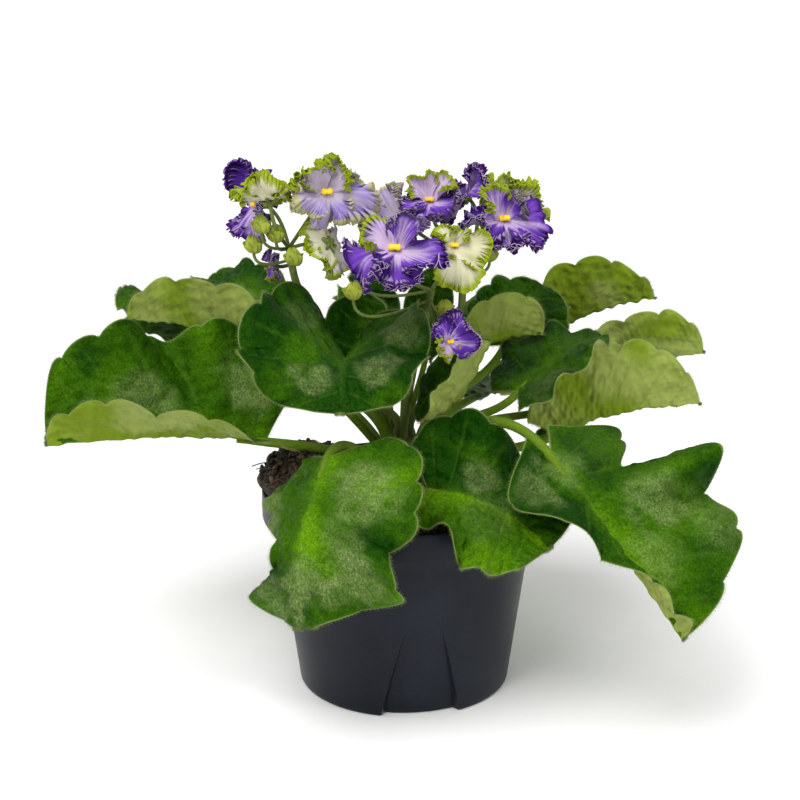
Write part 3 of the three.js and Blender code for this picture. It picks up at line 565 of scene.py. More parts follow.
def cut_drains(made):
    """Cuts the drain holes through the pot's floor, and leaves the object a plain mesh."""
    holes = Shape()
    for k in range(DRAINS):
        middle = around(DRAIN_CIRCLE, (k + 0.5) * TAU / DRAINS, 0)
        path = mm(middle + np.outer(np.linspace(-1.5, 1.5, 3), UP * POT_FLOOR))
        holes.add(*tube(path, DRAIN_RADIUS * MM, 28)[:2])
    tool = holes.object("drains", smooth=False)
    cut = made.modifiers.new("drain_holes", "BOOLEAN")
    cut.operation, cut.solver, cut.object = "DIFFERENCE", "EXACT", tool
    view = bpy.context.evaluated_depsgraph_get()
    done = bpy.data.meshes.new_from_object(made.evaluated_get(view))
    made.modifiers.clear()
    made.data = done
    bpy.data.objects.remove(tool)


def pot():
    """Foot pad, channel and foot ring, the slanted wall with its panels, the collar, and the
    inside back down to the floor; then the drain holes."""
    inside = COLLAR_RADIUS - POT_WALL
    shelf = COLLAR_UNDERSIDE + POT_WALL
    sole = [(PAD_RADIUS, 0), (PAD_RADIUS + SLOPE, CHANNEL)]
    sole += [(RING_INSIDE - SLOPE, CHANNEL), (RING_INSIDE, 0)]
    slant = [1.1, *np.linspace(3, PANEL_TOP - 0.5, 12), *np.linspace(PANEL_TOP, COLLAR_UNDERSIDE - 0.6, 5)]
    wall = [(FOOT_RADIUS - 1.2, 0), (FOOT_RADIUS - 0.35, 0.25)]
    wall += [(pot_radius(z), z) for z in slant]
    wall += [(NECK_RADIUS + 0.3, COLLAR_UNDERSIDE), (COLLAR_RADIUS - 1, COLLAR_UNDERSIDE),
             (COLLAR_RADIUS - 0.25, COLLAR_UNDERSIDE + 0.3), (COLLAR_RADIUS, COLLAR_UNDERSIDE + 1),
             (COLLAR_RADIUS, POT_HEIGHT - 1), (COLLAR_RADIUS - 0.2, POT_HEIGHT - 0.3),
             (COLLAR_RADIUS - 0.7, POT_HEIGHT), (inside + 0.4, POT_HEIGHT), (inside, POT_HEIGHT - 0.4),
             (inside, shelf + 0.6), (NECK_RADIUS - POT_WALL, shelf),
             (pot_radius(PANEL_TOP) - POT_WALL, PANEL_TOP), (pot_radius(POT_FLOOR) - POT_WALL, POT_FLOOR)]
    rings = [pot_ring(*row, panelled=False) for row in sole] + [pot_ring(*row) for row in wall]
    cut_drains(turned(rings, 0, POT_FLOOR).piece("pot_dressed", PLASTIC, "pot_plastic", ["pot"], crease=28))


pot()

# ---------------------------------------------------------------- soil and crown
SOIL_EDGE, SOIL_MIDDLE, SOIL_MOUND, SOIL_SPILL = 85, 94, 13, 4.5
MOUND_AZIMUTH, MOUND_SPREAD = math.radians(176), math.radians(44)
GAP = 0.35
CROWN_RADIUS, CROWN_FOOT, CROWN_TOP = 6.4, 60, 116


def heap(angle):
    turn = np.arctan2(np.sin(angle - MOUND_AZIMUTH), np.cos(angle - MOUND_AZIMUTH))
    return np.exp(-((turn / MOUND_SPREAD) ** 2))


def soil_edge(angle):
    return np.minimum(POT_HEIGHT + GAP, SOIL_EDGE + 14 * heap(angle))


def soil_top(angle, share):
    """Height and radius of the peat's top: level in the middle, down to the pot's edge,
    heaped on one side where it lies over the rim, with lumps."""
    rim = COLLAR_RADIUS - POT_WALL - GAP
    spill = np.clip((heap(angle) - 0.8) / 0.2, 0, 1)
    r = CROWN_RADIUS + 1 + (rim + SOIL_SPILL * spill - CROWN_RADIUS - 1) * share
    rise = np.interp(share, [0, 0.12, 0.35, 0.6, 0.82, 0.97, 1], [0, 0.3, 0.8, 1, 1, 0.35, 0.1])
    lumps = 1.1 * np.sin(5 * angle + r) + 0.8 * np.sin(9 * angle - 0.7 * r)
    mound = SOIL_MOUND * heap(angle) * np.minimum(1, 2.2 * share)
    z = SOIL_MIDDLE + (soil_edge(angle) - SOIL_MIDDLE) * share + (mound + lumps) * rise + 0.8
    return r, z, rise


def soil(columns=168):
    """The peat's sides follow the pot's inside, and its top is crumbled at two scales."""
    angle = np.arange(columns) * TAU / columns
    foot = pot_radius(POT_FLOOR) - POT_WALL - PANEL_DEPTH - 1
    neck, rim = NECK_RADIUS - POT_WALL - 2 * GAP, COLLAR_RADIUS - POT_WALL - GAP
    shelf = COLLAR_UNDERSIDE + POT_WALL + 0.6 + GAP
    side = [(foot, POT_FLOOR + GAP), (pot_radius(PANEL_TOP) - POT_WALL - 1, PANEL_TOP),
            (neck, COLLAR_UNDERSIDE), (neck, shelf), (rim, shelf), (rim, soil_edge(angle))]
    rings = [around(r, angle, z) for r, z in side]
    for share in np.linspace(1, 0.0, 48):
        r, z, rise = soil_top(angle, share)
        top = around(r, angle, z)
        crumble = 0.9 * waves(top, 5.0, 3) + 0.5 * waves(top, 2.2, 4)
        rings.append(top + UP * (crumble * (0.25 + 0.75 * rise))[:, None])
    rings += [around(CROWN_RADIUS + GAP, angle, z) for z in (SOIL_MIDDLE + 0.5, CROWN_FOOT - GAP)]
    turned(rings, POT_FLOOR + GAP, CROWN_FOOT - GAP).piece("peat_ball", PEAT, "soil", ["soil"])


LUMP = unit(np.array([[s * a, b, c] for s, a, b, c in (
    (1, 0, 1, 1.618), (1, 0, -1, 1.618), (1, 0, 1, -1.618), (1, 0, -1, -1.618),
    (1, 1, 1.618, 0), (-1, 1, 1.618, 0), (1, 1, -1.618, 0), (-1, 1, -1.618, 0),
    (1, 1.618, 0, 1), (-1, 1.618, 0, 1), (1, 1.618, 0, -1), (-1, 1.618, 0, -1))], float))


def hull_faces(points):
    """Faces of a small convex set: the triples whose plane has every other point behind."""
    n = range(len(points))
    triples = np.array([(a, b, c) for a in n for b in n for c in n if a < min(b, c) and b != c])
    a, b, c = [points[triples[:, k]] for k in range(3)]
    normal = np.cross(b - a, c - a)
    behind = ((points[None] - a[:, None]) * normal[:, None]).sum(-1) < 1e-6
    return triples[behind.all(1)]


def crumbs(name, count, sizes, paint, seed, low_share, flat):
    """Lumps of peat or bark scattered over the top, each one a stretched, turned and
    knocked twenty-sided lump."""
    rng = np.random.default_rng(seed)
    angle = rng.uniform(0, TAU, count)
    angle = np.where(rng.uniform(size=count) < 0.45, MOUND_AZIMUTH + rng.normal(0, 0.7, count), angle)
    share = low_share + (0.985 - low_share) * rng.uniform(size=count) ** 0.6
    r, z, _ = soil_top(angle, share)
    size = rng.uniform(*sizes, count)
    middle = around(r, angle, z + 0.25 * size)
    axes = np.linalg.qr(rng.normal(size=(count, 3, 3)))[0]
    drawn = np.stack([np.ones(count), rng.uniform(*flat, count), rng.uniform(*flat, count)], -1)
    corners = LUMP[None] * rng.uniform(0.75, 1.2, (count, 12, 1)) * (size[:, None] * drawn)[:, None] / 2
    points = np.einsum("nij,nkj->nki", axes, corners) + middle[:, None]
    faces = hull_faces(LUMP)[None] + 12 * np.arange(count)[:, None, None]
    mirrored = np.linalg.det(axes) < 0
    faces[mirrored] = faces[mirrored][:, :, ::-1]
    faces = faces.reshape(-1, 3)
    shape = Shape()
    shape.add(mm(points), np.column_stack([faces, np.full(len(faces), -1)]))
    shape.piece(name, paint, "soil", crease=20)


def fibres(count, seed):
    """Fine roots and straw: thin bent tubes that lie on the heap and over the rim."""
    rng = np.random.default_rng(seed)
    shape = Shape()
    for _ in range(count):
        angle = MOUND_AZIMUTH + rng.normal(0, 0.55)
        share = rng.uniform(0.55, 0.97)
        heading = rng.uniform(0, TAU)
        reach = rng.uniform(6, 18)
        s = np.linspace(-0.5, 0.5, 9)
        r, _, _ = soil_top(np.full(1, angle), share)
        bend = rng.uniform(-5, 5)
        cos, sin = math.cos(heading), math.sin(heading)
        flat = np.stack([s * reach * cos - bend * s * s * sin, s * reach * sin + bend * s * s * cos], -1)
        at = around(r[0], angle, 0)[:2] + flat
        spot_angle, spot_r = np.arctan2(at[:, 1], at[:, 0]), np.hypot(at[:, 0], at[:, 1])
        rim = COLLAR_RADIUS - POT_WALL - GAP
        _, height, _ = soil_top(spot_angle, np.clip(spot_r / rim, 0, 0.97))
        path = np.column_stack([at, height + rng.uniform(0.3, 1.0) + 1.2 * np.cos(3 * s)])
        shape.add(*tube(mm(path), rng.uniform(0.15, 0.4) * MM, 5)[:2])
    shape.piece("root_fibres", BARK, "soil")


def crown(columns=36):
    """The short thick stem: a turned post with rings of old leaf scars."""
    z = np.linspace(CROWN_FOOT + 8, CROWN_TOP - 1, 60)[:, None]
    angle = np.arange(columns) * TAU / columns
    scars = 0.35 * np.abs(np.sin(z * 0.9)) * (0.6 + 0.4 * np.sin(5 * angle + z * 1.7))
    body = around(CROWN_RADIUS - 0.4 + scars, angle, z)
    foot, top = around(CROWN_RADIUS / 2, angle, CROWN_FOOT), around(CROWN_RADIUS - 1, angle, CROWN_TOP)
    turned([foot, *body, top], CROWN_FOOT, CROWN_TOP).piece("crown_stem", STALK, "stalk_green", ["crown"])


soil()
crumbs("peat_crumbs", 1100, (1.2, 4.2), PEAT, 11, 0.2, (0.5, 1.0))
crumbs("bark_bits", 170, (2.5, 6.5), BARK, 12, 0.3, (0.25, 0.6))
fibres(46, 13)
crown()

# ---------------------------------------------------------------- leaves
# A leaf is a stalk from the crown to the blade's base, and a blade about a midrib. stem: the
# azimuth, height and lift at which the stalk leaves. The midrib bows from base to tip by arch
# (upwards) and sway (to its left). Each half of the blade has a width, a fold (its angle above
# level beside the midrib), a curl (how much steeper it gets towards the edge) and a ripple.
# The left half of travel comes first, and pairs run base to tip. point: the taper's power;
# back: how far the lobes reach behind the base. swells: [side, place, spread, lift, reach],
# where side is 1 on the left. tone: painted light and shade on each half, from 0 shaded to 1
# lit. ridge: how much brighter it is at the midrib. down: patches of painted sheen, where the
# fine hairs catch the light: [place, across, spread, share]. What most leaves of a kind share
# stands with the kind.
LARGE = {"teeth": 14, "stalk": 2.3, "grid": (150, 42)}
PLAIN = {"teeth": 12, "stalk": 2.2, "grid": (120, 34), "arch": 6, "curl": 5}
MIDDLE = {"teeth": 12, "stalk": 1.9, "grid": (110, 32), "arch": 4, "curl": 5}
SMALL = {"teeth": 8, "stalk": 1.4, "grid": (70, 22), "arch": 2, "curl": 5}
LOBE_START, LOBE_END = math.radians(24), math.radians(177)
WIDEST, LOBE_BACK, TOOTH_DEPTH = 0.42, 0.6, 0.05
BLADE_THICKNESS, RIM_THICKNESS = 0.7, 0.3
HALF_BLADE, MIDRIB_WIDTH = 35, 1.5
STALK_SIDES, STALK_HAIRS = 16, 700

LEAVES = {
    "front_left": dict(LARGE, stem=[232, 99, 35], base=[-33, -48, 123], tip=[-45, -84, 59], arch=12,
        wide=[50, 34], fold=[[14, -8], [-40, -10]], curl=[-10, [-10, -20]], ripple=[4, 2.5],
        phase=[0.1, 0.3], swells=[[1, 0.08, 0.1, 0, 0.25], [1, 0.52, 0.1, 0, -0.22],
        [1, 0.7, 0.07, 0, 0.15], [1, 0.89, 0.08, 0, -0.5], [-1, 0.1, 0.12, 0, 0.45],
        [-1, 0.56, 0.14, 0, -0.55], [-1, 0.81, 0.06, 0, 0.5]], tone=[0.4, 0.3], ridge=0.7,
        down=[[0.3, 0.5, 0.16, 1.0], [0.55, 0.45, 0.12, 0.5], [0.88, 0.1, 0.2, 1.0],
        [0.7, 0.6, 0.14, 0.9], [0.35, -0.95, 0.14, 1.0], [0.85, -0.6, 0.14, 0.8]]),
    "front_middle": dict(LARGE, stem=[285, 100, 20], base=[10, -42, 106], tip=[62, -63, 87], arch=7,
        sway=1, wide=[41, 40], fold=[[62, 42], [-15, -28]], curl=[[10, 0], -10], ripple=4,
        swells=[[-1, 0.3, 0.18, 0, -0.45], [-1, 0.8, 0.1, 0, 0.1], [-1, 0.93, 0.06, 0, 0.5],
        [1, 0.54, 0.175, -9.5, -0.44]], tone=[0.04, 0.66], ridge=0.4,
        down=[[0.45, 0.3, 0.12, 0.8], [0.6, -0.2, 0.2, 0.25]]),
    "front_right": dict(LARGE, stem=[338, 105, 60], base=[62.5, -51, 126], tip=[116, -90, 57], arch=1,
        wide=[51, 25], fold=[[-12, 55], [-75, 90]], curl=[[5, 0], [0, 20]], ripple=4,
        swells=[[1, 0, 0.1, 0, -0.35], [1, 0.17, 0.07, 0, 0.3], [1, 0.3, 0.045, -8, -0.3],
        [1, 0.43, 0.07, 32, -0.05], [1, 0.65, 0.08, 0, 0.15], [-1, 0, 0.08, 0, -0.6],
        [-1, 0.2, 0.08, 0, 0.3], [-1, 0.5, 0.15, 0, -0.55]], tone=[0.4, 0.2], ridge=0.4,
        down=[[0.5, 0.5, 0.11, 0.9], [0.72, 0.25, 0.12, 0.6], [0.2, -0.6, 0.14, 0.7],
        [0.2, 0.0, 0.14, 0.6], [0.6, 0.85, 0.12, 0.5]]),
    "left": dict(LARGE, stem=[184, 101, 25], base=[-62, -3, 116], tip=[-158, -22, 119], arch=3,
        wide=[29, 55], fold=[[-5, 85], [60, 58]], curl=[[10, 0], 5], ripple=[2, 4], point=0.8,
        swells=[[-1, 0.44, 0.06, -14, -0.2], [-1, 0.84, 0.1, 0, 0.2]], tone=[0.5, 0.38], ridge=0.4,
        down=[[0.62, -0.35, 0.12, 0.85], [0.2, -0.5, 0.13, 1.0], [0.8, -0.3, 0.1, 0.5]]),
    "right": dict(LARGE, stem=[8, 101, 20], base=[70, 25, 110], tip=[138, 29, 123], arch=4, wide=[30, 36],
        fold=[-10, [78, 82]], curl=5, ripple=[4, 2], point=1.35, swells=[[-1, 0.2, 0.15, 0, 0.15]],
        tone=[0.4, 0.35]),
    "upper_front": dict(LARGE, stem=[238, 110, 70], base=[-26, -12, 156], tip=[-27, -52, 144], arch=9,
        wide=[38, 46], fold=[[55, -25], [55, -25]], curl=10, ripple=4, back=0.62,
        swells=[[-1, 0.14, 0.1, 4, 0.24], [1, 0.22, 0.08, -1, 0.1], [1, 0.36, 0.1, 0, 0.1]],
        tone=[0.1, 0.12], down=[[0.62, 0.45, 0.14, 0.9], [0.72, -0.35, 0.13, 0.9],
        [0.35, 0.75, 0.13, 0.8], [0.2, -0.6, 0.1, 0.5]]),
    "back_left": dict(PLAIN, stem=[124, 101, 30], base=[-36, 52, 120], tip=[-84, 120, 94], wide=[40, 38],
        fold=[15, -5], ripple=4.5),
    "back": dict(PLAIN, stem=[90, 105, 45], base=[3, 60, 144], tip=[8, 138, 126], wide=[42, 42], fold=20,
        ripple=5),
    "back_right": dict(PLAIN, stem=[58, 100, 30], base=[32, 56, 118], tip=[78, 122, 96], wide=[38, 34],
        fold=[-5, 15], ripple=4.5),
    "middle_right": dict(MIDDLE, stem=[350, 111, 68], base=[50, -10, 141], tip=[90, 5, 162],
        wide=[30, 28], fold=[[5, -5], [-10, 15]], curl=10, ripple=3, tone=[0.1, 0.2],
        down=[[0.3, -0.6, 0.2, 0.4]]),
    "high_right": dict(MIDDLE, stem=[24, 106, 40], base=[91, 48, 125], tip=[143, 56, 140], wide=[28, 27],
        fold=[12, [75, 78]], ripple=[3, 2]),
    "far_right": dict(MIDDLE, stem=[52, 107, 56], base=[68, 74, 143], tip=[123, 88, 159], wide=[30, 31],
        fold=[15, 72], ripple=[4, 2], point=1.4, swells=[[-1, 0.15, 0.15, 0, 0.15],
        [-1, 0.7, 0.12, 0, -0.2]], tone=[0.35, 0.5]),
    "high_left": dict(MIDDLE, stem=[158, 106, 45], base=[-66, 30, 150], tip=[-129, 38, 161],
        wide=[25, 28], fold=[70, 20], ripple=[2, 3], swells=[[1, 0.15, 0.12, 0, 0.25]],
        tone=[0.25, 0.15]),
    "far_left": dict(MIDDLE, stem=[138, 110, 62], base=[-94, 60, 146], tip=[-137, 76, 167], arch=3,
        wide=[24, 14], fold=[-15, -5], ripple=2),
    "behind_left": dict(MIDDLE, stem=[116, 108, 62], base=[-69, 76, 154], tip=[-99, 108, 163], arch=3,
        wide=[22, 22], fold=[10, 25], ripple=2, down=[[0.4, 0.3, 0.3, 0.6]]),
    "behind_right": dict(MIDDLE, stem=[39, 113, 70], base=[46, 34, 150], tip=[66, 52, 174], arch=2,
        wide=[24, 26], fold=[20, -15], curl=10, ripple=2, tone=0.1),
    "inner_right": dict(SMALL, stem=[14, 112, 62], base=[33, 7, 155], tip=[63, 15, 160], arch=3,
        wide=[15, 22], fold=[40, 75], ripple=1.5),
    "inner_front": dict(SMALL, stem=[318, 112, 70], base=[15, -18, 128], tip=[38, -13, 165], arch=-2,
        wide=[23, 25], fold=[30, 40], ripple=2.5),
    "heart_left": dict(SMALL, stem=[122, 113, 78], base=[-12, 24, 152], tip=[-22, 43, 182], wide=[14, 14],
        fold=30, ripple=1.5, tone=0.1),
    "heart_back": dict(SMALL, stem=[80, 113, 78], base=[10, 22, 150], tip=[20, 41, 186], wide=[14, 14],
        fold=30, ripple=1.5, tone=0.1),
    "heart_front": dict(SMALL, stem=[188, 113, 78], base=[-20, 5, 142], tip=[-19, 14, 180], wide=[19, 17],
        fold=[15, 15], ripple=2, tone=0.1),
}


def sided(value, left, t=0.0):
    """A leaf's value on each half: one for both or [left, right], each a number or
    [base, tip]."""
    pair = value if isinstance(value, list) else [value, value]
    ends = [side if isinstance(side, list) else [side, side] for side in pair]
    first, second = [low + (high - low) * t for low, high in ends]
    return np.where(left, first, second)


def midrib(leaf, u):
    """Points of the midrib and the ways along it, to its left and up from it. It is a
    quadratic Bezier curve, and runs straight on past both ends."""
    base, tip = mm(leaf["base"]), mm(leaf["tip"])
    chord = tip - base
    side = unit(np.array([-chord[1], chord[0], 0.0]))
    lift = unit(np.cross(chord, side))
    knee = (base + tip) / 2 + 2 * leaf["arch"] * MM * lift + 2 * leaf.get("sway", 0) * MM * side
    inside = np.clip(u, 0, 1)[..., None]
    run = 2 * (1 - inside) * (knee - base) + 2 * inside * (tip - knee)
    point = (1 - inside) ** 2 * base + 2 * inside * (1 - inside) * knee + inside ** 2 * tip
    point = point + run * (u[..., None] - inside)
    along = unit(run)
    across = unit(side - along * (along @ side)[..., None])
    return point, along, across, np.cross(along, across)


def blade(leaf, t, v):
    """A point of the blade at place t (base to tip round the edge) and v (-1 right edge, 0
    midrib, 1 left edge): out from the midrib along an arc that starts at the fold and
    steepens by the curl, with scalloped teeth and ripples that grow towards the edge."""
    left, out = v >= 0, np.abs(v)
    sign = np.where(left, 1.0, -1.0)
    turn = LOBE_START + (LOBE_END - LOBE_START) * t
    edge_u = WIDEST - np.where(turn < math.pi / 2, leaf.get("back", LOBE_BACK), 1 - WIDEST) * np.cos(turn)
    ends = np.sqrt(np.clip(np.sin(math.pi * t), 0, 1))
    half = sided(leaf["wide"], left) * MM * np.sin(turn) ** leaf.get("point", 0.95)
    lift = np.zeros_like(half)
    for side, spot, spread, up, reach in leaf.get("swells", []):
        swell = np.exp(-(((t - spot) / spread) ** 2)) * ((side > 0) == left)
        half = half * (1 + reach * swell)
        lift = lift + up * MM * swell
    scallop = 2 * np.abs(np.cos(math.pi * leaf["teeth"] * t / 2)) ** 0.6 - 1
    half = half * (1 + TOOTH_DEPTH * scallop * ends * out ** 2)
    inner_u = t ** 1.5
    u = inner_u + (edge_u - inner_u) * out ** 1.15
    point, _, across, normal = midrib(leaf, u)
    fold = np.radians(sided(leaf["fold"], left, t))
    curl = np.radians(sided(leaf["curl"], left, t)) + 1e-6
    tilt = fold + curl * out
    lateral = (np.sin(tilt) - np.sin(fold)) / curl * half
    height = (np.cos(fold) - np.cos(tilt)) / curl * half
    phase = sided(leaf.get("phase", 0), left)
    ripple = sided(leaf["ripple"], left) * MM * np.sin(TAU * (3.5 * t + phase)) * ends * out ** 2.2
    flutter = 0.45 * MM * leaf["teeth"] ** 0.5 * scallop * ends * out ** 4
    wave = ripple + flutter + lift * out ** 1.7
    return (point + across * (sign * (lateral - np.sin(tilt) * wave))[..., None]
            + normal * (height + np.cos(tilt) * wave)[..., None])


def edge_distance(points):
    """How far each point of a grid lies from the grid's four sides, along the surface."""
    rows = np.linalg.norm(np.diff(points, axis=0), axis=-1)
    cols = np.linalg.norm(np.diff(points, axis=1), axis=-1)
    down = np.concatenate([np.zeros((1, points.shape[1])), np.cumsum(rows, axis=0)])
    over = np.column_stack([np.zeros(points.shape[0]), np.cumsum(cols, axis=1)])
    return np.minimum.reduce([down, down[-1:] - down, over, over[:, -1:] - over])


def boundary(index):
    """Point numbers round a grid's edge, closed on themselves."""
    return np.concatenate([index[:, 0], index[-1, 1:], index[-2::-1, -1], index[0, -2::-1]])


def leaf_stalk(leaf):
    """The stalk's path: a Bezier curve from the crown, leaving at its lift, to the blade's
    base, and on under the first part of the midrib."""
    radius, (azimuth, start, lift) = leaf["stalk"] * MM, leaf["stem"]
    reach = (CROWN_RADIUS + GAP) * MM + radius * math.sin(math.radians(lift))
    root = towards(azimuth, 0) * reach + UP * start * MM
    point, along, _, normal = midrib(leaf, np.array([0.0, 0.14]))
    base = point[0] - normal[0] * radius * 0.55
    hold = 0.38 * np.linalg.norm(base - root)
    curve = bezier([root, root + towards(azimuth, lift) * hold, base - along[0] * hold, base], 34)
    beyond = point[1] - normal[1] * radius * 0.55
    return np.concatenate([curve, base + (beyond - base) * np.array([[0.33], [0.66], [1.0]])])


def leaf(name, leaf, seed):
    rng = np.random.default_rng(seed)
    rows, half_columns = leaf["grid"]
    spread = 1 - (1 - np.linspace(0, 1, half_columns + 1)) ** 1.2
    across = np.concatenate([-spread[:0:-1], spread])
    t, v = np.meshgrid(np.linspace(0, 1, rows + 1), across, indexing="ij")
    out = np.abs(v)
    middle = blade(leaf, t, v)
    normal = surface_normals(middle)
    away = edge_distance(middle)
    inner = ease(0, 2.5 * MM, away)

    # veins, quilting between them, and the two skins
    rib = np.exp(-((out * HALF_BLADE / MIDRIB_WIDTH) ** 2)) * (1 - t) ** 0.6
    cell = leaf["teeth"] * t / 2
    ray = np.abs((cell + 0.5) % 1 - 0.5)
    side_vein = np.exp(-((ray / 0.05) ** 2)) * ease(0.02, 0.12, out)
    side_vein = side_vein * (1 - ease(0.75, 1.0, out)) * ease(0, 0.1, t)
    quilt = np.sin(math.pi * (cell % 1)) * np.sin(math.pi * np.clip(out, 0, 1)) ** 0.5
    cells = waves(middle, 7 * MM, seed + 40) * 0.28 + waves(middle, 3.2 * MM, seed + 41) * 0.14
    relief = (0.55 * quilt + 1.2 * cells) * inner * MM
    middle = middle + normal * relief[..., None]
    thick = (RIM_THICKNESS + (BLADE_THICKNESS - RIM_THICKNESS) * ease(0, 3 * MM, away)) * MM / 2
    groove = (0.45 * rib + 0.2 * side_vein) * MM * inner
    keel = (0.5 * leaf["stalk"] * rib + 0.25 * side_vein) * MM
    top = middle + normal * (thick - groove)[..., None]
    low = middle - normal * (thick + keel)[..., None]

    # what the material reads
    edge_rim = 0.75 * np.exp(-((away / (0.4 * MM)) ** 2))
    # painted light and shade: each half's brightness from the table, more at the midrib, with a little
    # random variation
    ridge = leaf.get("ridge", 0.3) * np.exp(-((v / 0.22) ** 2)) * (1 - t) ** 0.5
    tone = sided(leaf.get("tone", 0.3), v >= 0) + ridge + 0.12 * waves(middle, 30 * MM, seed + 42)
    # painted sheen: patches where the fine hairs catch the light, from the leaf's table, with ragged edges
    down = 0.03 + 0 * t
    ragged = 0.18 * waves(middle, 9 * MM, seed + 44)
    for spot, over, wide, share in leaf.get("down", []):
        near = np.exp(-(((t - spot) / wide) ** 2) - (((v - over) / (wide * 2.2)) ** 2))
        down = down + share * ease(0.2, 0.8, near + ragged * near)
    veins = np.maximum(rib * 0.9, side_vein * 0.5)

    # the skins are joined by a lip round the edge
    count = t.size
    index = np.arange(count).reshape(t.shape)
    loop = boundary(index)
    middle, normal, skin = middle.reshape(-1, 3), normal.reshape(-1, 3), top.reshape(-1, 3)
    edge = middle[loop[:-1]]
    forward = np.roll(edge, -1, 0) - np.roll(edge, 1, 0)
    outward = -unit(np.cross(normal[loop[:-1]], forward))
    lip = edge + outward * RIM_THICKNESS * MM * 0.35
    lips = len(lip)
    lip_loop = np.append(np.arange(lips), 0) + 2 * count
    faces = np.concatenate([grid_faces(index), grid_faces(index[:, ::-1] + count),
                            grid_faces(np.stack([loop, lip_loop, loop + count]))])

    def thrice(field):
        return np.concatenate([field.ravel(), field.ravel(), field.ravel()[loop[:-1]]])

    shape = Shape()
    shape.add(np.concatenate([skin, low.reshape(-1, 3), lip]), faces,
              tone=thrice(tone), down=thrice(down), vein=thrice(veins),
              rim=np.concatenate([edge_rim.ravel(), edge_rim.ravel() * 0.7, np.ones(lips)]),
              under=np.repeat([0.0, 1.0, 0.5], [count, count, lips]))

    # hairs along the edge and on the upper skin, then the stalk and its hairs
    roots = np.repeat(lip, 6, axis=0)
    ways = np.repeat(outward, 6, axis=0) + 0.25 * rng.normal(size=roots.shape)
    keep = rng.uniform(size=len(roots)) < 0.8
    hairs(shape, roots[keep], ways[keep], 1.8 * MM, 0.1 * MM, rng, rim=1.0, tone=0.6)
    pick = rng.choice(count, min(count, rows * 16), replace=False)
    along = unit(np.gradient(middle.reshape(*t.shape, 3), axis=0)).reshape(-1, 3)
    lean = normal[pick] + 0.8 * along[pick]
    hairs(shape, skin[pick], lean, 1.1 * MM, 0.08 * MM, rng, rim=0.75, tone=0.6)
    path = leaf_stalk(leaf)
    share = np.linspace(0, 1, len(path))
    radius = leaf["stalk"] * MM * (1.05 - 0.12 * share - 0.35 * ease(0.9, 1, share))
    points, faces, rings = tube(path, radius, STALK_SIDES)
    # the leaf's stalk: a fixed brightness and a little painted sheen of its hairs
    shape.add(points, faces, tone=0.7, down=0.35, under=0.5, vein=0.4)
    pick = rng.integers(0, len(path) - 3, STALK_HAIRS)
    spots = rings[pick, rng.integers(0, STALK_SIDES, STALK_HAIRS)]
    hairs(shape, spots, spots - path[pick], 1.2 * MM, 0.08 * MM, rng, rim=1.0, tone=0.9)
    shape.piece("dressed_" + name, LEAF, "leaf_green", [name])


for number, (leaf_name, values) in enumerate(LEAVES.items()):
    leaf("leaf_" + leaf_name, values, 100 + number)

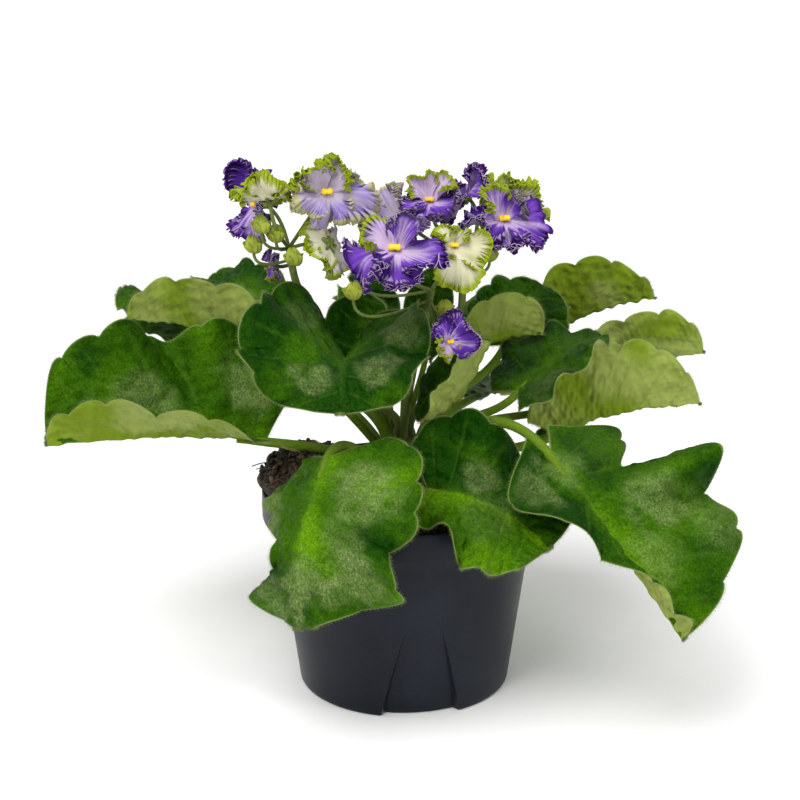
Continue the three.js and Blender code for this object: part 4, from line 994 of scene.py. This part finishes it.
# ---------------------------------------------------------------- blooms
# A corolla faces an azimuth and rise, and has five overlapping lobes, numbered round from the
# upper right one and turned on by roll. Each has a length, lift and curl, an ink from 0 white
# to 1 deep, and a share of green in its frill. Its name starts with its flower stalk's.
BLOOMS = {
    "left_outer": dict(at=[-65.5, 19, 220], looks=[222, 12], size=18.5, tint="violet",
        lobes=[[0.9, 40, -20], [0.6, 50, -30], [0.95, 25, -40], [1.1, 0, -30], [1.1, 20, 20]],
        ink=[1.2, 0.6, 0.4, 0.35, 1.2], green=0, rim_ink=0.8),
    "left_cup": dict(at=[-58, -9, 227], looks=[98, 66], roll=186, size=17, tint="pale",
        lobes=[[0.7, 35, -20], [0.9, 40, -20], [1.0, 40, -20], [0.95, 40, -20], [0.7, 35, -20]]),
    "left_facing": dict(at=[-34, -6, 230], looks=[288, 32], size=20, tint="lilac", lobes=[[0.8, 35, 10],
        [1.15, 10, -25], [0.9, 5, -50], [0.8, 20, -20], [0.8, 45, 10]], ink=[0.1, 0.6, 0.6, 0.4, 0.1],
        green=[1, 0.2, 0.1, 0.3, 1]),
    "left_lower": dict(at=[-33, -8, 207], looks=[150, -35], size=16, tint="pale", lobes=[[0.9, 15, -20],
        [0.9, 15, -20], [1.0, 15, -20], [1.0, 20, -20], [1.0, 15, -20]], ink=[0.2, 0.1, 1.6, 1.6, 0.4],
        green=[1, 1, 0.3, 0.3, 1]),
    "left_small": dict(at=[-59, 20, 191], looks=[200, 10], size=8, tint="violet", lobes=[[1, 20, -20],
        [1, 10, -20], [1, 20, -30], [1.3, 10, -20], [0.9, 30, 0]], green=[0.2, 0.2, 0.9, 0.2, 0.2]),
    "right_side": dict(at=[-3, 14, 213], looks=[232, 25], size=18, tint="lilac", lobes=[[0.8, 25, -20],
        [0.9, 15, -20], [0.95, 10, -30], [1.05, 5, -30], [0.9, 20, -20]], ink=[0.3, 0.2, 0.4, 0.5, 0.4],
        green=[0.3, 0, 0.6, 0.2, 0]),
    "right_upper": dict(at=[11, -2, 225], looks=[262, 62], size=15, tint="violet", lobes=[[1.0, 50, 0],
        [1, 15, -30], [0.8, 10, -40], [0.9, 15, -30], [1.0, 50, 0]], ink=[0.0, 0.8, 1.0, 1.0, 0.0],
        green=[1, 0.3, 0.1, 0.3, 1]),
    "right_tall": dict(at=[28, 14, 224], looks=[158, 40], size=16, tint="violet", lobes=[[1.1, 10, -20],
        [1, 20, -20], [1, 20, -20], [0.9, 20, -20], [1, 20, -20]], ink=0.8, green=0.1),
    "right_facing": dict(at=[43, -7, 218], looks=[286, 48], size=20, tint="violet",
        lobes=[[0.75, 50, -10], [1.05, 12, -25], [0.85, 0, -35], [0.9, 15, -30], [0.9, 60, 0]],
        ink=[0.7, 0.75, 0.65, 0.8, 0.45], green=[0.4, 0, 0, 0, 0.8]),
    "right_back": dict(at=[47, 20, 218], looks=[62, 20], size=17, tint="pale", lobes=[[1, 10, -20],
        [0.9, 10, -20], [0.8, 10, -20], [1, 10, -20], [1.1, 10, -20]]),
    "front_facing": dict(at=[-4, -40, 212], looks=[268, 60], roll=-8, size=22, tint="violet",
        lobes=[[0.9, 62, -20], [1.0, 0, -30], [0.9, -5, -45], [1.05, 6, -28], [0.75, 35, -10]],
        ink=[0.6, 0.7, 0.95, 0.8, 0.2], green=[0.3, 0.1, 0, 0, 0.9]),
    "front_green": dict(at=[21, -24, 210], looks=[285, 48], size=13, tint="pale", lobes=[[0.8, 50, 0],
        [1.3, 15, -30], [1.5, 0, -30], [0.9, 35, 0], [0.8, 50, 0]]),
    "front_low": dict(at=[19, -35, 171], looks=[300, 20], size=10, tint="violet", lobes=[[1.3, 25, -10],
        [1.35, 25, -20], [0.9, 10, -20], [1.1, 35, -20], [1.2, 40, -20]], ink=[1, 0.9, 0.1, 0, 1],
        green=[0, 0.1, 0.9, 0.9, 0.1]),
}
LOBES = 5
LOBE_SPREAD = math.radians(60)
LOBE_ROUND, THROAT = 0.8, 0.18
FRILLS = 18
PETAL_THICKNESS = 0.45
LOBE_GRID = (15, 168)


def bloom_frame(bloom):
    """The bloom's centre, and the ways that it faces, to its right and up."""
    azimuth, rise = bloom["looks"]
    face = towards(azimuth, rise)
    right = towards(azimuth + 90, 0)
    return mm(bloom["at"]), face, right, np.cross(face, right)


def lobe_surface(bloom, k, s, w, seed):
    """A point of lobe k at share s from throat to edge and w from -1 to 1 across its fan. The
    edge is a power of a cosine. The lobe is an arc that leaves a flat throat by its lift and
    curl, wanders a little, and its outer third is gathered into folds: waves that swing
    sideways as they rise, so they overhang."""
    centre, face, right, up = bloom_frame(bloom)
    length, lift, curl = bloom["lobes"][k]
    size = bloom["size"] * MM
    fan = w * LOBE_SPREAD
    flat = np.stack([w, 0 * w + 3.0 * k, 0 * w], -1)
    reach = size * length * s * np.cos(fan) ** LOBE_ROUND * (1 + 0.08 * waves(flat, 0.8, seed))
    throat = np.minimum(reach, THROAT * size)
    wander = waves(np.stack([w, 0.8 * s, 0 * w + 5.0 * k], -1), 1.0, seed + 2)
    tilt = np.radians(lift + curl * s / 2) + 0.3 * wander * s
    drift = waves(flat, 0.4, seed + 1)
    phase = math.pi * FRILLS * w + 1.6 * drift + 1.3 * k
    outer = ease(0.66, 1.0, s)
    fold = 0.09 * size * outer * (1 + 0.5 * waves(flat, 0.3, seed + 3))
    fringe = 0.035 * size * np.sin(2.7 * phase + 2 * drift) * ease(0.88, 1.0, s)
    out = throat + (reach - throat) * np.cos(tilt) + fringe - fold * np.sin(phase) * np.sin(tilt)
    rise = (reach - throat) * np.sin(tilt) + fold * np.sin(phase) * np.cos(tilt)
    rise = rise + size * s * (0.07 * w * (-1) ** k + 0.02 * k) - 0.05 * size * (1 - w ** 2) * s
    swing = 0.7 * fold * np.sin(2 * phase + drift) / np.maximum(reach, 0.3 * size)
    angle = (k + 0.5) * TAU / LOBES + math.radians(bloom.get("roll", 0)) + fan + swing
    ring = up * np.cos(angle)[..., None] + right * np.sin(angle)[..., None]
    return centre + ring * out[..., None] + face * rise[..., None]


def sheet(shape, front, thickness, wrap=False, **fields):
    """A grid given a thickness, thinner towards its last row, and closed round its rim. One
    that wraps is a disc, and its first row is its middle point over and over."""
    rows, columns = front.shape[:2]
    index = np.arange(rows * columns).reshape(rows, columns)
    loop, kept = boundary(index), slice(0, None)
    normal = surface_normals(front, wrap)
    if wrap:
        normal[0] = unit(normal[1].mean(0))
        index = np.maximum(index - columns + 1, 0)
        index = np.column_stack([index, index[:, 0]])
        loop, kept = index[-1], slice(columns - 1, None)
    offset = normal * (thickness / 2 * np.linspace(1, 0.5, rows)[:, None, None])
    skins = [(front + side * offset).reshape(-1, 3)[kept] for side in (1, -1)]
    count = len(skins[0])
    faces = np.concatenate([grid_faces(index), grid_faces(index[:, ::-1] + count),
                            grid_faces(np.stack([loop, loop + count]))])
    for key, field in fields.items():
        fields[key] = np.tile(np.broadcast_to(field, (rows, columns)).ravel()[kept], 2)
    shape.add(np.concatenate(skins), faces, back=np.repeat([0.0, 1.0], count), **fields)
    return front + offset


def sphere(rows, columns):
    """Ways out from a ball's centre on a grid of tilts and turns, without its two poles."""
    tilt, turn = np.meshgrid(np.linspace(0, math.pi, rows + 2)[1:-1], np.arange(columns) * TAU / columns,
                             indexing="ij")
    return np.stack([np.sin(tilt) * np.cos(turn), np.sin(tilt) * np.sin(turn), np.cos(tilt)], -1)


def bloom_piece(name, bloom, seed):
    rows, columns = LOBE_GRID
    shares = 1 - 0.93 * (1 - np.linspace(0, 1, rows)) ** 1.5
    s, w = np.meshgrid(shares, np.linspace(1, -1, columns), indexing="ij")
    stripe = np.exp(-((w / 0.3) ** 2)) * (1 - 0.6 * s)
    reach = ease(0.12, 0.7, s) * (0.75 + 0.5 * np.abs(w))
    lip = ease(0.975, 1.0, s)
    inks, greens = [np.broadcast_to(bloom.get(*pair), LOBES) for pair in (("ink", 0.5), ("green", 1.0))]
    shape = Shape()
    for k, (ink, green) in enumerate(zip(inks, greens)):
        front = lobe_surface(bloom, k, s, w, seed + 10 * k)
        lines = waves(np.stack([w, 0.1 * s, 0 * w + k], -1), 0.13, seed + 4)
        depth = ink * reach * (1 - 0.6 * stripe) + bloom.get("rim_ink", 0.25) * ease(0.8, 0.95, s)
        frill = ease(0.86 - 0.2 * green, 0.98, s) * (1 - 0.25 * green - (0.65 - 0.65 * green) * lip)
        streak = 0.5 + 0.4 * lines * ease(0.05, 0.3, s) * (1 - 0.6 * ease(0.6, 1, s))
        depth = depth - (1.1 - 0.9 * green) * lip
        sheet(shape, front, PETAL_THICKNESS * MM, ink=depth, green=green, frill=frill, streak=streak)
    tint = bloom["tint"]
    shape.piece("frilled_" + name, PETALS[tint], "petal_" + tint, ["bloom_" + name])


def anther_piece(name, bloom, rows=23, columns=40):
    """Two sacs grown together: a ball drawn apart along its width and pinched between."""
    centre, face, right, up = bloom_frame(bloom)
    radius = (0.06 * bloom["size"] + 0.5) * MM
    way = sphere(rows, columns)
    apart = 0.6 * np.tanh(3 * way[..., 0])
    pinch = 1 - 0.3 * np.exp(-((way[..., 0] / 0.3) ** 2))
    body = np.stack([way[..., 0] * 0.95 + apart, way[..., 1] * pinch, way[..., 2] * 0.85 * pinch], -1)
    pole = [[0, 0, 0.85 * 0.7]]
    body = np.concatenate([pole, body.reshape(-1, 3), np.negative(pole)]) * radius
    middle = centre + face * (0.5 * MM + 0.9 * radius) - up * 0.3 * radius
    shape = Shape()
    shape.add(middle + body @ np.stack([right, up, face]), ball_faces(rows, columns))
    shape.piece("sacs_" + name, ANTHER, "anther_yellow", ["anthers_" + name])


for number, (bloom_name, bloom) in enumerate(BLOOMS.items()):
    bloom_piece(bloom_name, bloom, 300 + 60 * number)
    anther_piece(bloom_name, bloom)

# ---------------------------------------------------------------- flower stalks
STALKS = {
    "left": dict(root=[-3.4, 1.2], radius=1.9,
                 points=[[-20, 13, 136], [-38, 15, 160], [-48, 9, 185], [-51, 4, 203]],
                 buds=[[-62, -9, 216], [-66, -4, 206], [-56, -5, 211], [-48, -11, 202]]),
    "right": dict(root=[3.4, 1.8], radius=1.9, points=[[16, 3, 145], [25, 4, 172], [26, 5, 196]],
                  buds=[[28, -8, 197], [38, 6, 200]]),
    "front": dict(root=[0.2, -3.8], radius=1.7, points=[[4, -9, 150], [9, -11, 173], [12, -13, 188]],
                  buds=[[-20, -18, 200], [-22, -20, 189], [18, -24, 182]]),
}
BUD_RADIUS, PEDICEL_RADIUS, BUD_PEDICEL_RADIUS = 3.4, 0.85, 0.7
SEPAL_LENGTH, SEPAL_THICKNESS = 5.0, 0.45


def pedicel(stalk, place_at, way):
    """A bend from the stalk's top, or a little below it, to the back of a bloom or bud."""
    foot, below = mm(stalk["points"][-1]), mm(stalk["points"][-2])
    below = below + (foot - below) * 0.7
    start = below if place_at[2] < foot[2] + 4 * MM else foot
    hold = place_at - way * 0.45 * np.linalg.norm(start - place_at)
    knees = [end + (hold - end) * 2 / 3 for end in (start, place_at)]
    return bezier([start, *knees, place_at], 18)


def hairy_tube(shape, path, radius, sides, count, rng, **values):
    points, faces, rings = tube(path, radius, sides)
    shape.add(points, faces, **values)
    pick, turn = rng.integers(1, len(path) - 1, count), rng.integers(0, sides, count)
    spots, behind = rings[pick, turn], rings[pick - 1, turn]
    spots = spots + rng.uniform(0, 1, (count, 1)) * (behind - spots)
    hairs(shape, spots, spots - path[pick], 0.9 * MM, 0.07 * MM, rng, rim=0.9)


def star_cup(shape, at, face, length, cup, rng):
    """Five narrow sepals joined at their feet: the edge of a disc drawn in between them by a
    power of a cosine, bent back along the pedicel or forward round a bud by cup."""
    guide = np.eye(3)[np.argmin(np.abs(face))]
    right = unit(np.cross(face, guide))
    up = np.cross(face, right)
    s, turn = np.meshgrid(np.linspace(0, 1, 9), 1 - np.arange(60) / 60, indexing="ij")
    angle = turn * TAU
    point_share = np.abs(np.cos(2.5 * angle)) ** 1.6
    edge = length * (0.34 + 0.66 * point_share)
    r = edge * s
    height = cup * length * s ** 2 + 0.12 * length * np.sin(angle * 5) * s
    r = r * (1 - 0.35 * abs(cup) * s)
    front = at + around(r, angle, height) @ np.stack([up, right, face])
    front[0] = front[0, :1]
    top = sheet(shape, front, SEPAL_THICKNESS * MM, wrap=True, tone=0.5)
    spots = top[-1][rng.integers(0, 60, 60)]
    hairs(shape, spots, spots - at, 0.8 * MM, 0.07 * MM, rng, rim=0.9)


def bud(shape, at, radius, rng, rows=20, columns=48):
    """A ribbed ball, drawn out at its top into a small frill, held in a star of sepals."""
    way = sphere(rows, columns)
    tilt, turn = np.arccos(way[..., 2]), np.arange(columns) * TAU / columns
    ribs = 1 + 0.08 * np.abs(np.cos(2.5 * turn)) + 0.05 * np.sin(9 * turn + 3 * tilt)
    crest = np.exp(-((tilt / 0.75) ** 2))
    r = radius * ribs * (1 + 0.32 * crest * (0.6 + 0.4 * np.sin(10 * turn + 2)))
    lean = unit(rng.normal(0, 0.35, 3) + UP)
    body = (way * [1, 1, 1.05] * r[..., None]).reshape(-1, 3)
    body = np.concatenate([[UP * radius * 1.1], body, [-UP * radius * 1.05]])
    body = body + (lean - UP) * body[:, 2:3] * 0.5
    shape.add(at + body, ball_faces(rows, columns), tone=0.8)
    star_cup(shape, at - UP * radius * 1.02, UP, radius * 1.9, 0.7, rng)
    spots = at + body[rng.integers(0, len(body), 140)]
    hairs(shape, spots, spots - at, 0.8 * MM, 0.07 * MM, rng, rim=0.9)


def flower_stalk(name, stalk, seed):
    rng = np.random.default_rng(seed)
    root = mm([*stalk["root"], CROWN_TOP + GAP])
    knots = [root, root + UP * 8 * MM, *mm(stalk["points"])]
    path = spline(knots, 60)
    green, buds = Shape(), Shape()
    radius = stalk["radius"] * MM * (1.08 - 0.2 * np.linspace(0, 1, 60))
    hairy_tube(green, path, radius, 16, 1400, rng)
    for bloom_name, bloom in BLOOMS.items():
        if bloom_name.startswith(name + "_"):
            centre, face, _, _ = bloom_frame(bloom)
            back = centre - face * (PETAL_THICKNESS / 2 + 0.3) * MM
            hairy_tube(green, pedicel(stalk, back, face), PEDICEL_RADIUS * MM, 10, 260, rng)
            star_cup(green, back - face * 1.2 * MM, face, SEPAL_LENGTH * MM, 0.22, rng)
    for spot in stalk["buds"]:
        at = mm(spot)
        path = pedicel(stalk, at - UP * BUD_RADIUS * MM, UP)
        hairy_tube(green, path, BUD_PEDICEL_RADIUS * MM, 10, 160, rng)
        bud(buds, at, BUD_RADIUS * MM, rng)
    green.piece("stem_" + name, STALK, "stalk_green", ["flower_stalk_" + name])
    buds.piece("buds_" + name, BUD, "stalk_green")


for number, (stalk_name, stalk) in enumerate(STALKS.items()):
    flower_stalk(stalk_name, stalk, 500 + number)
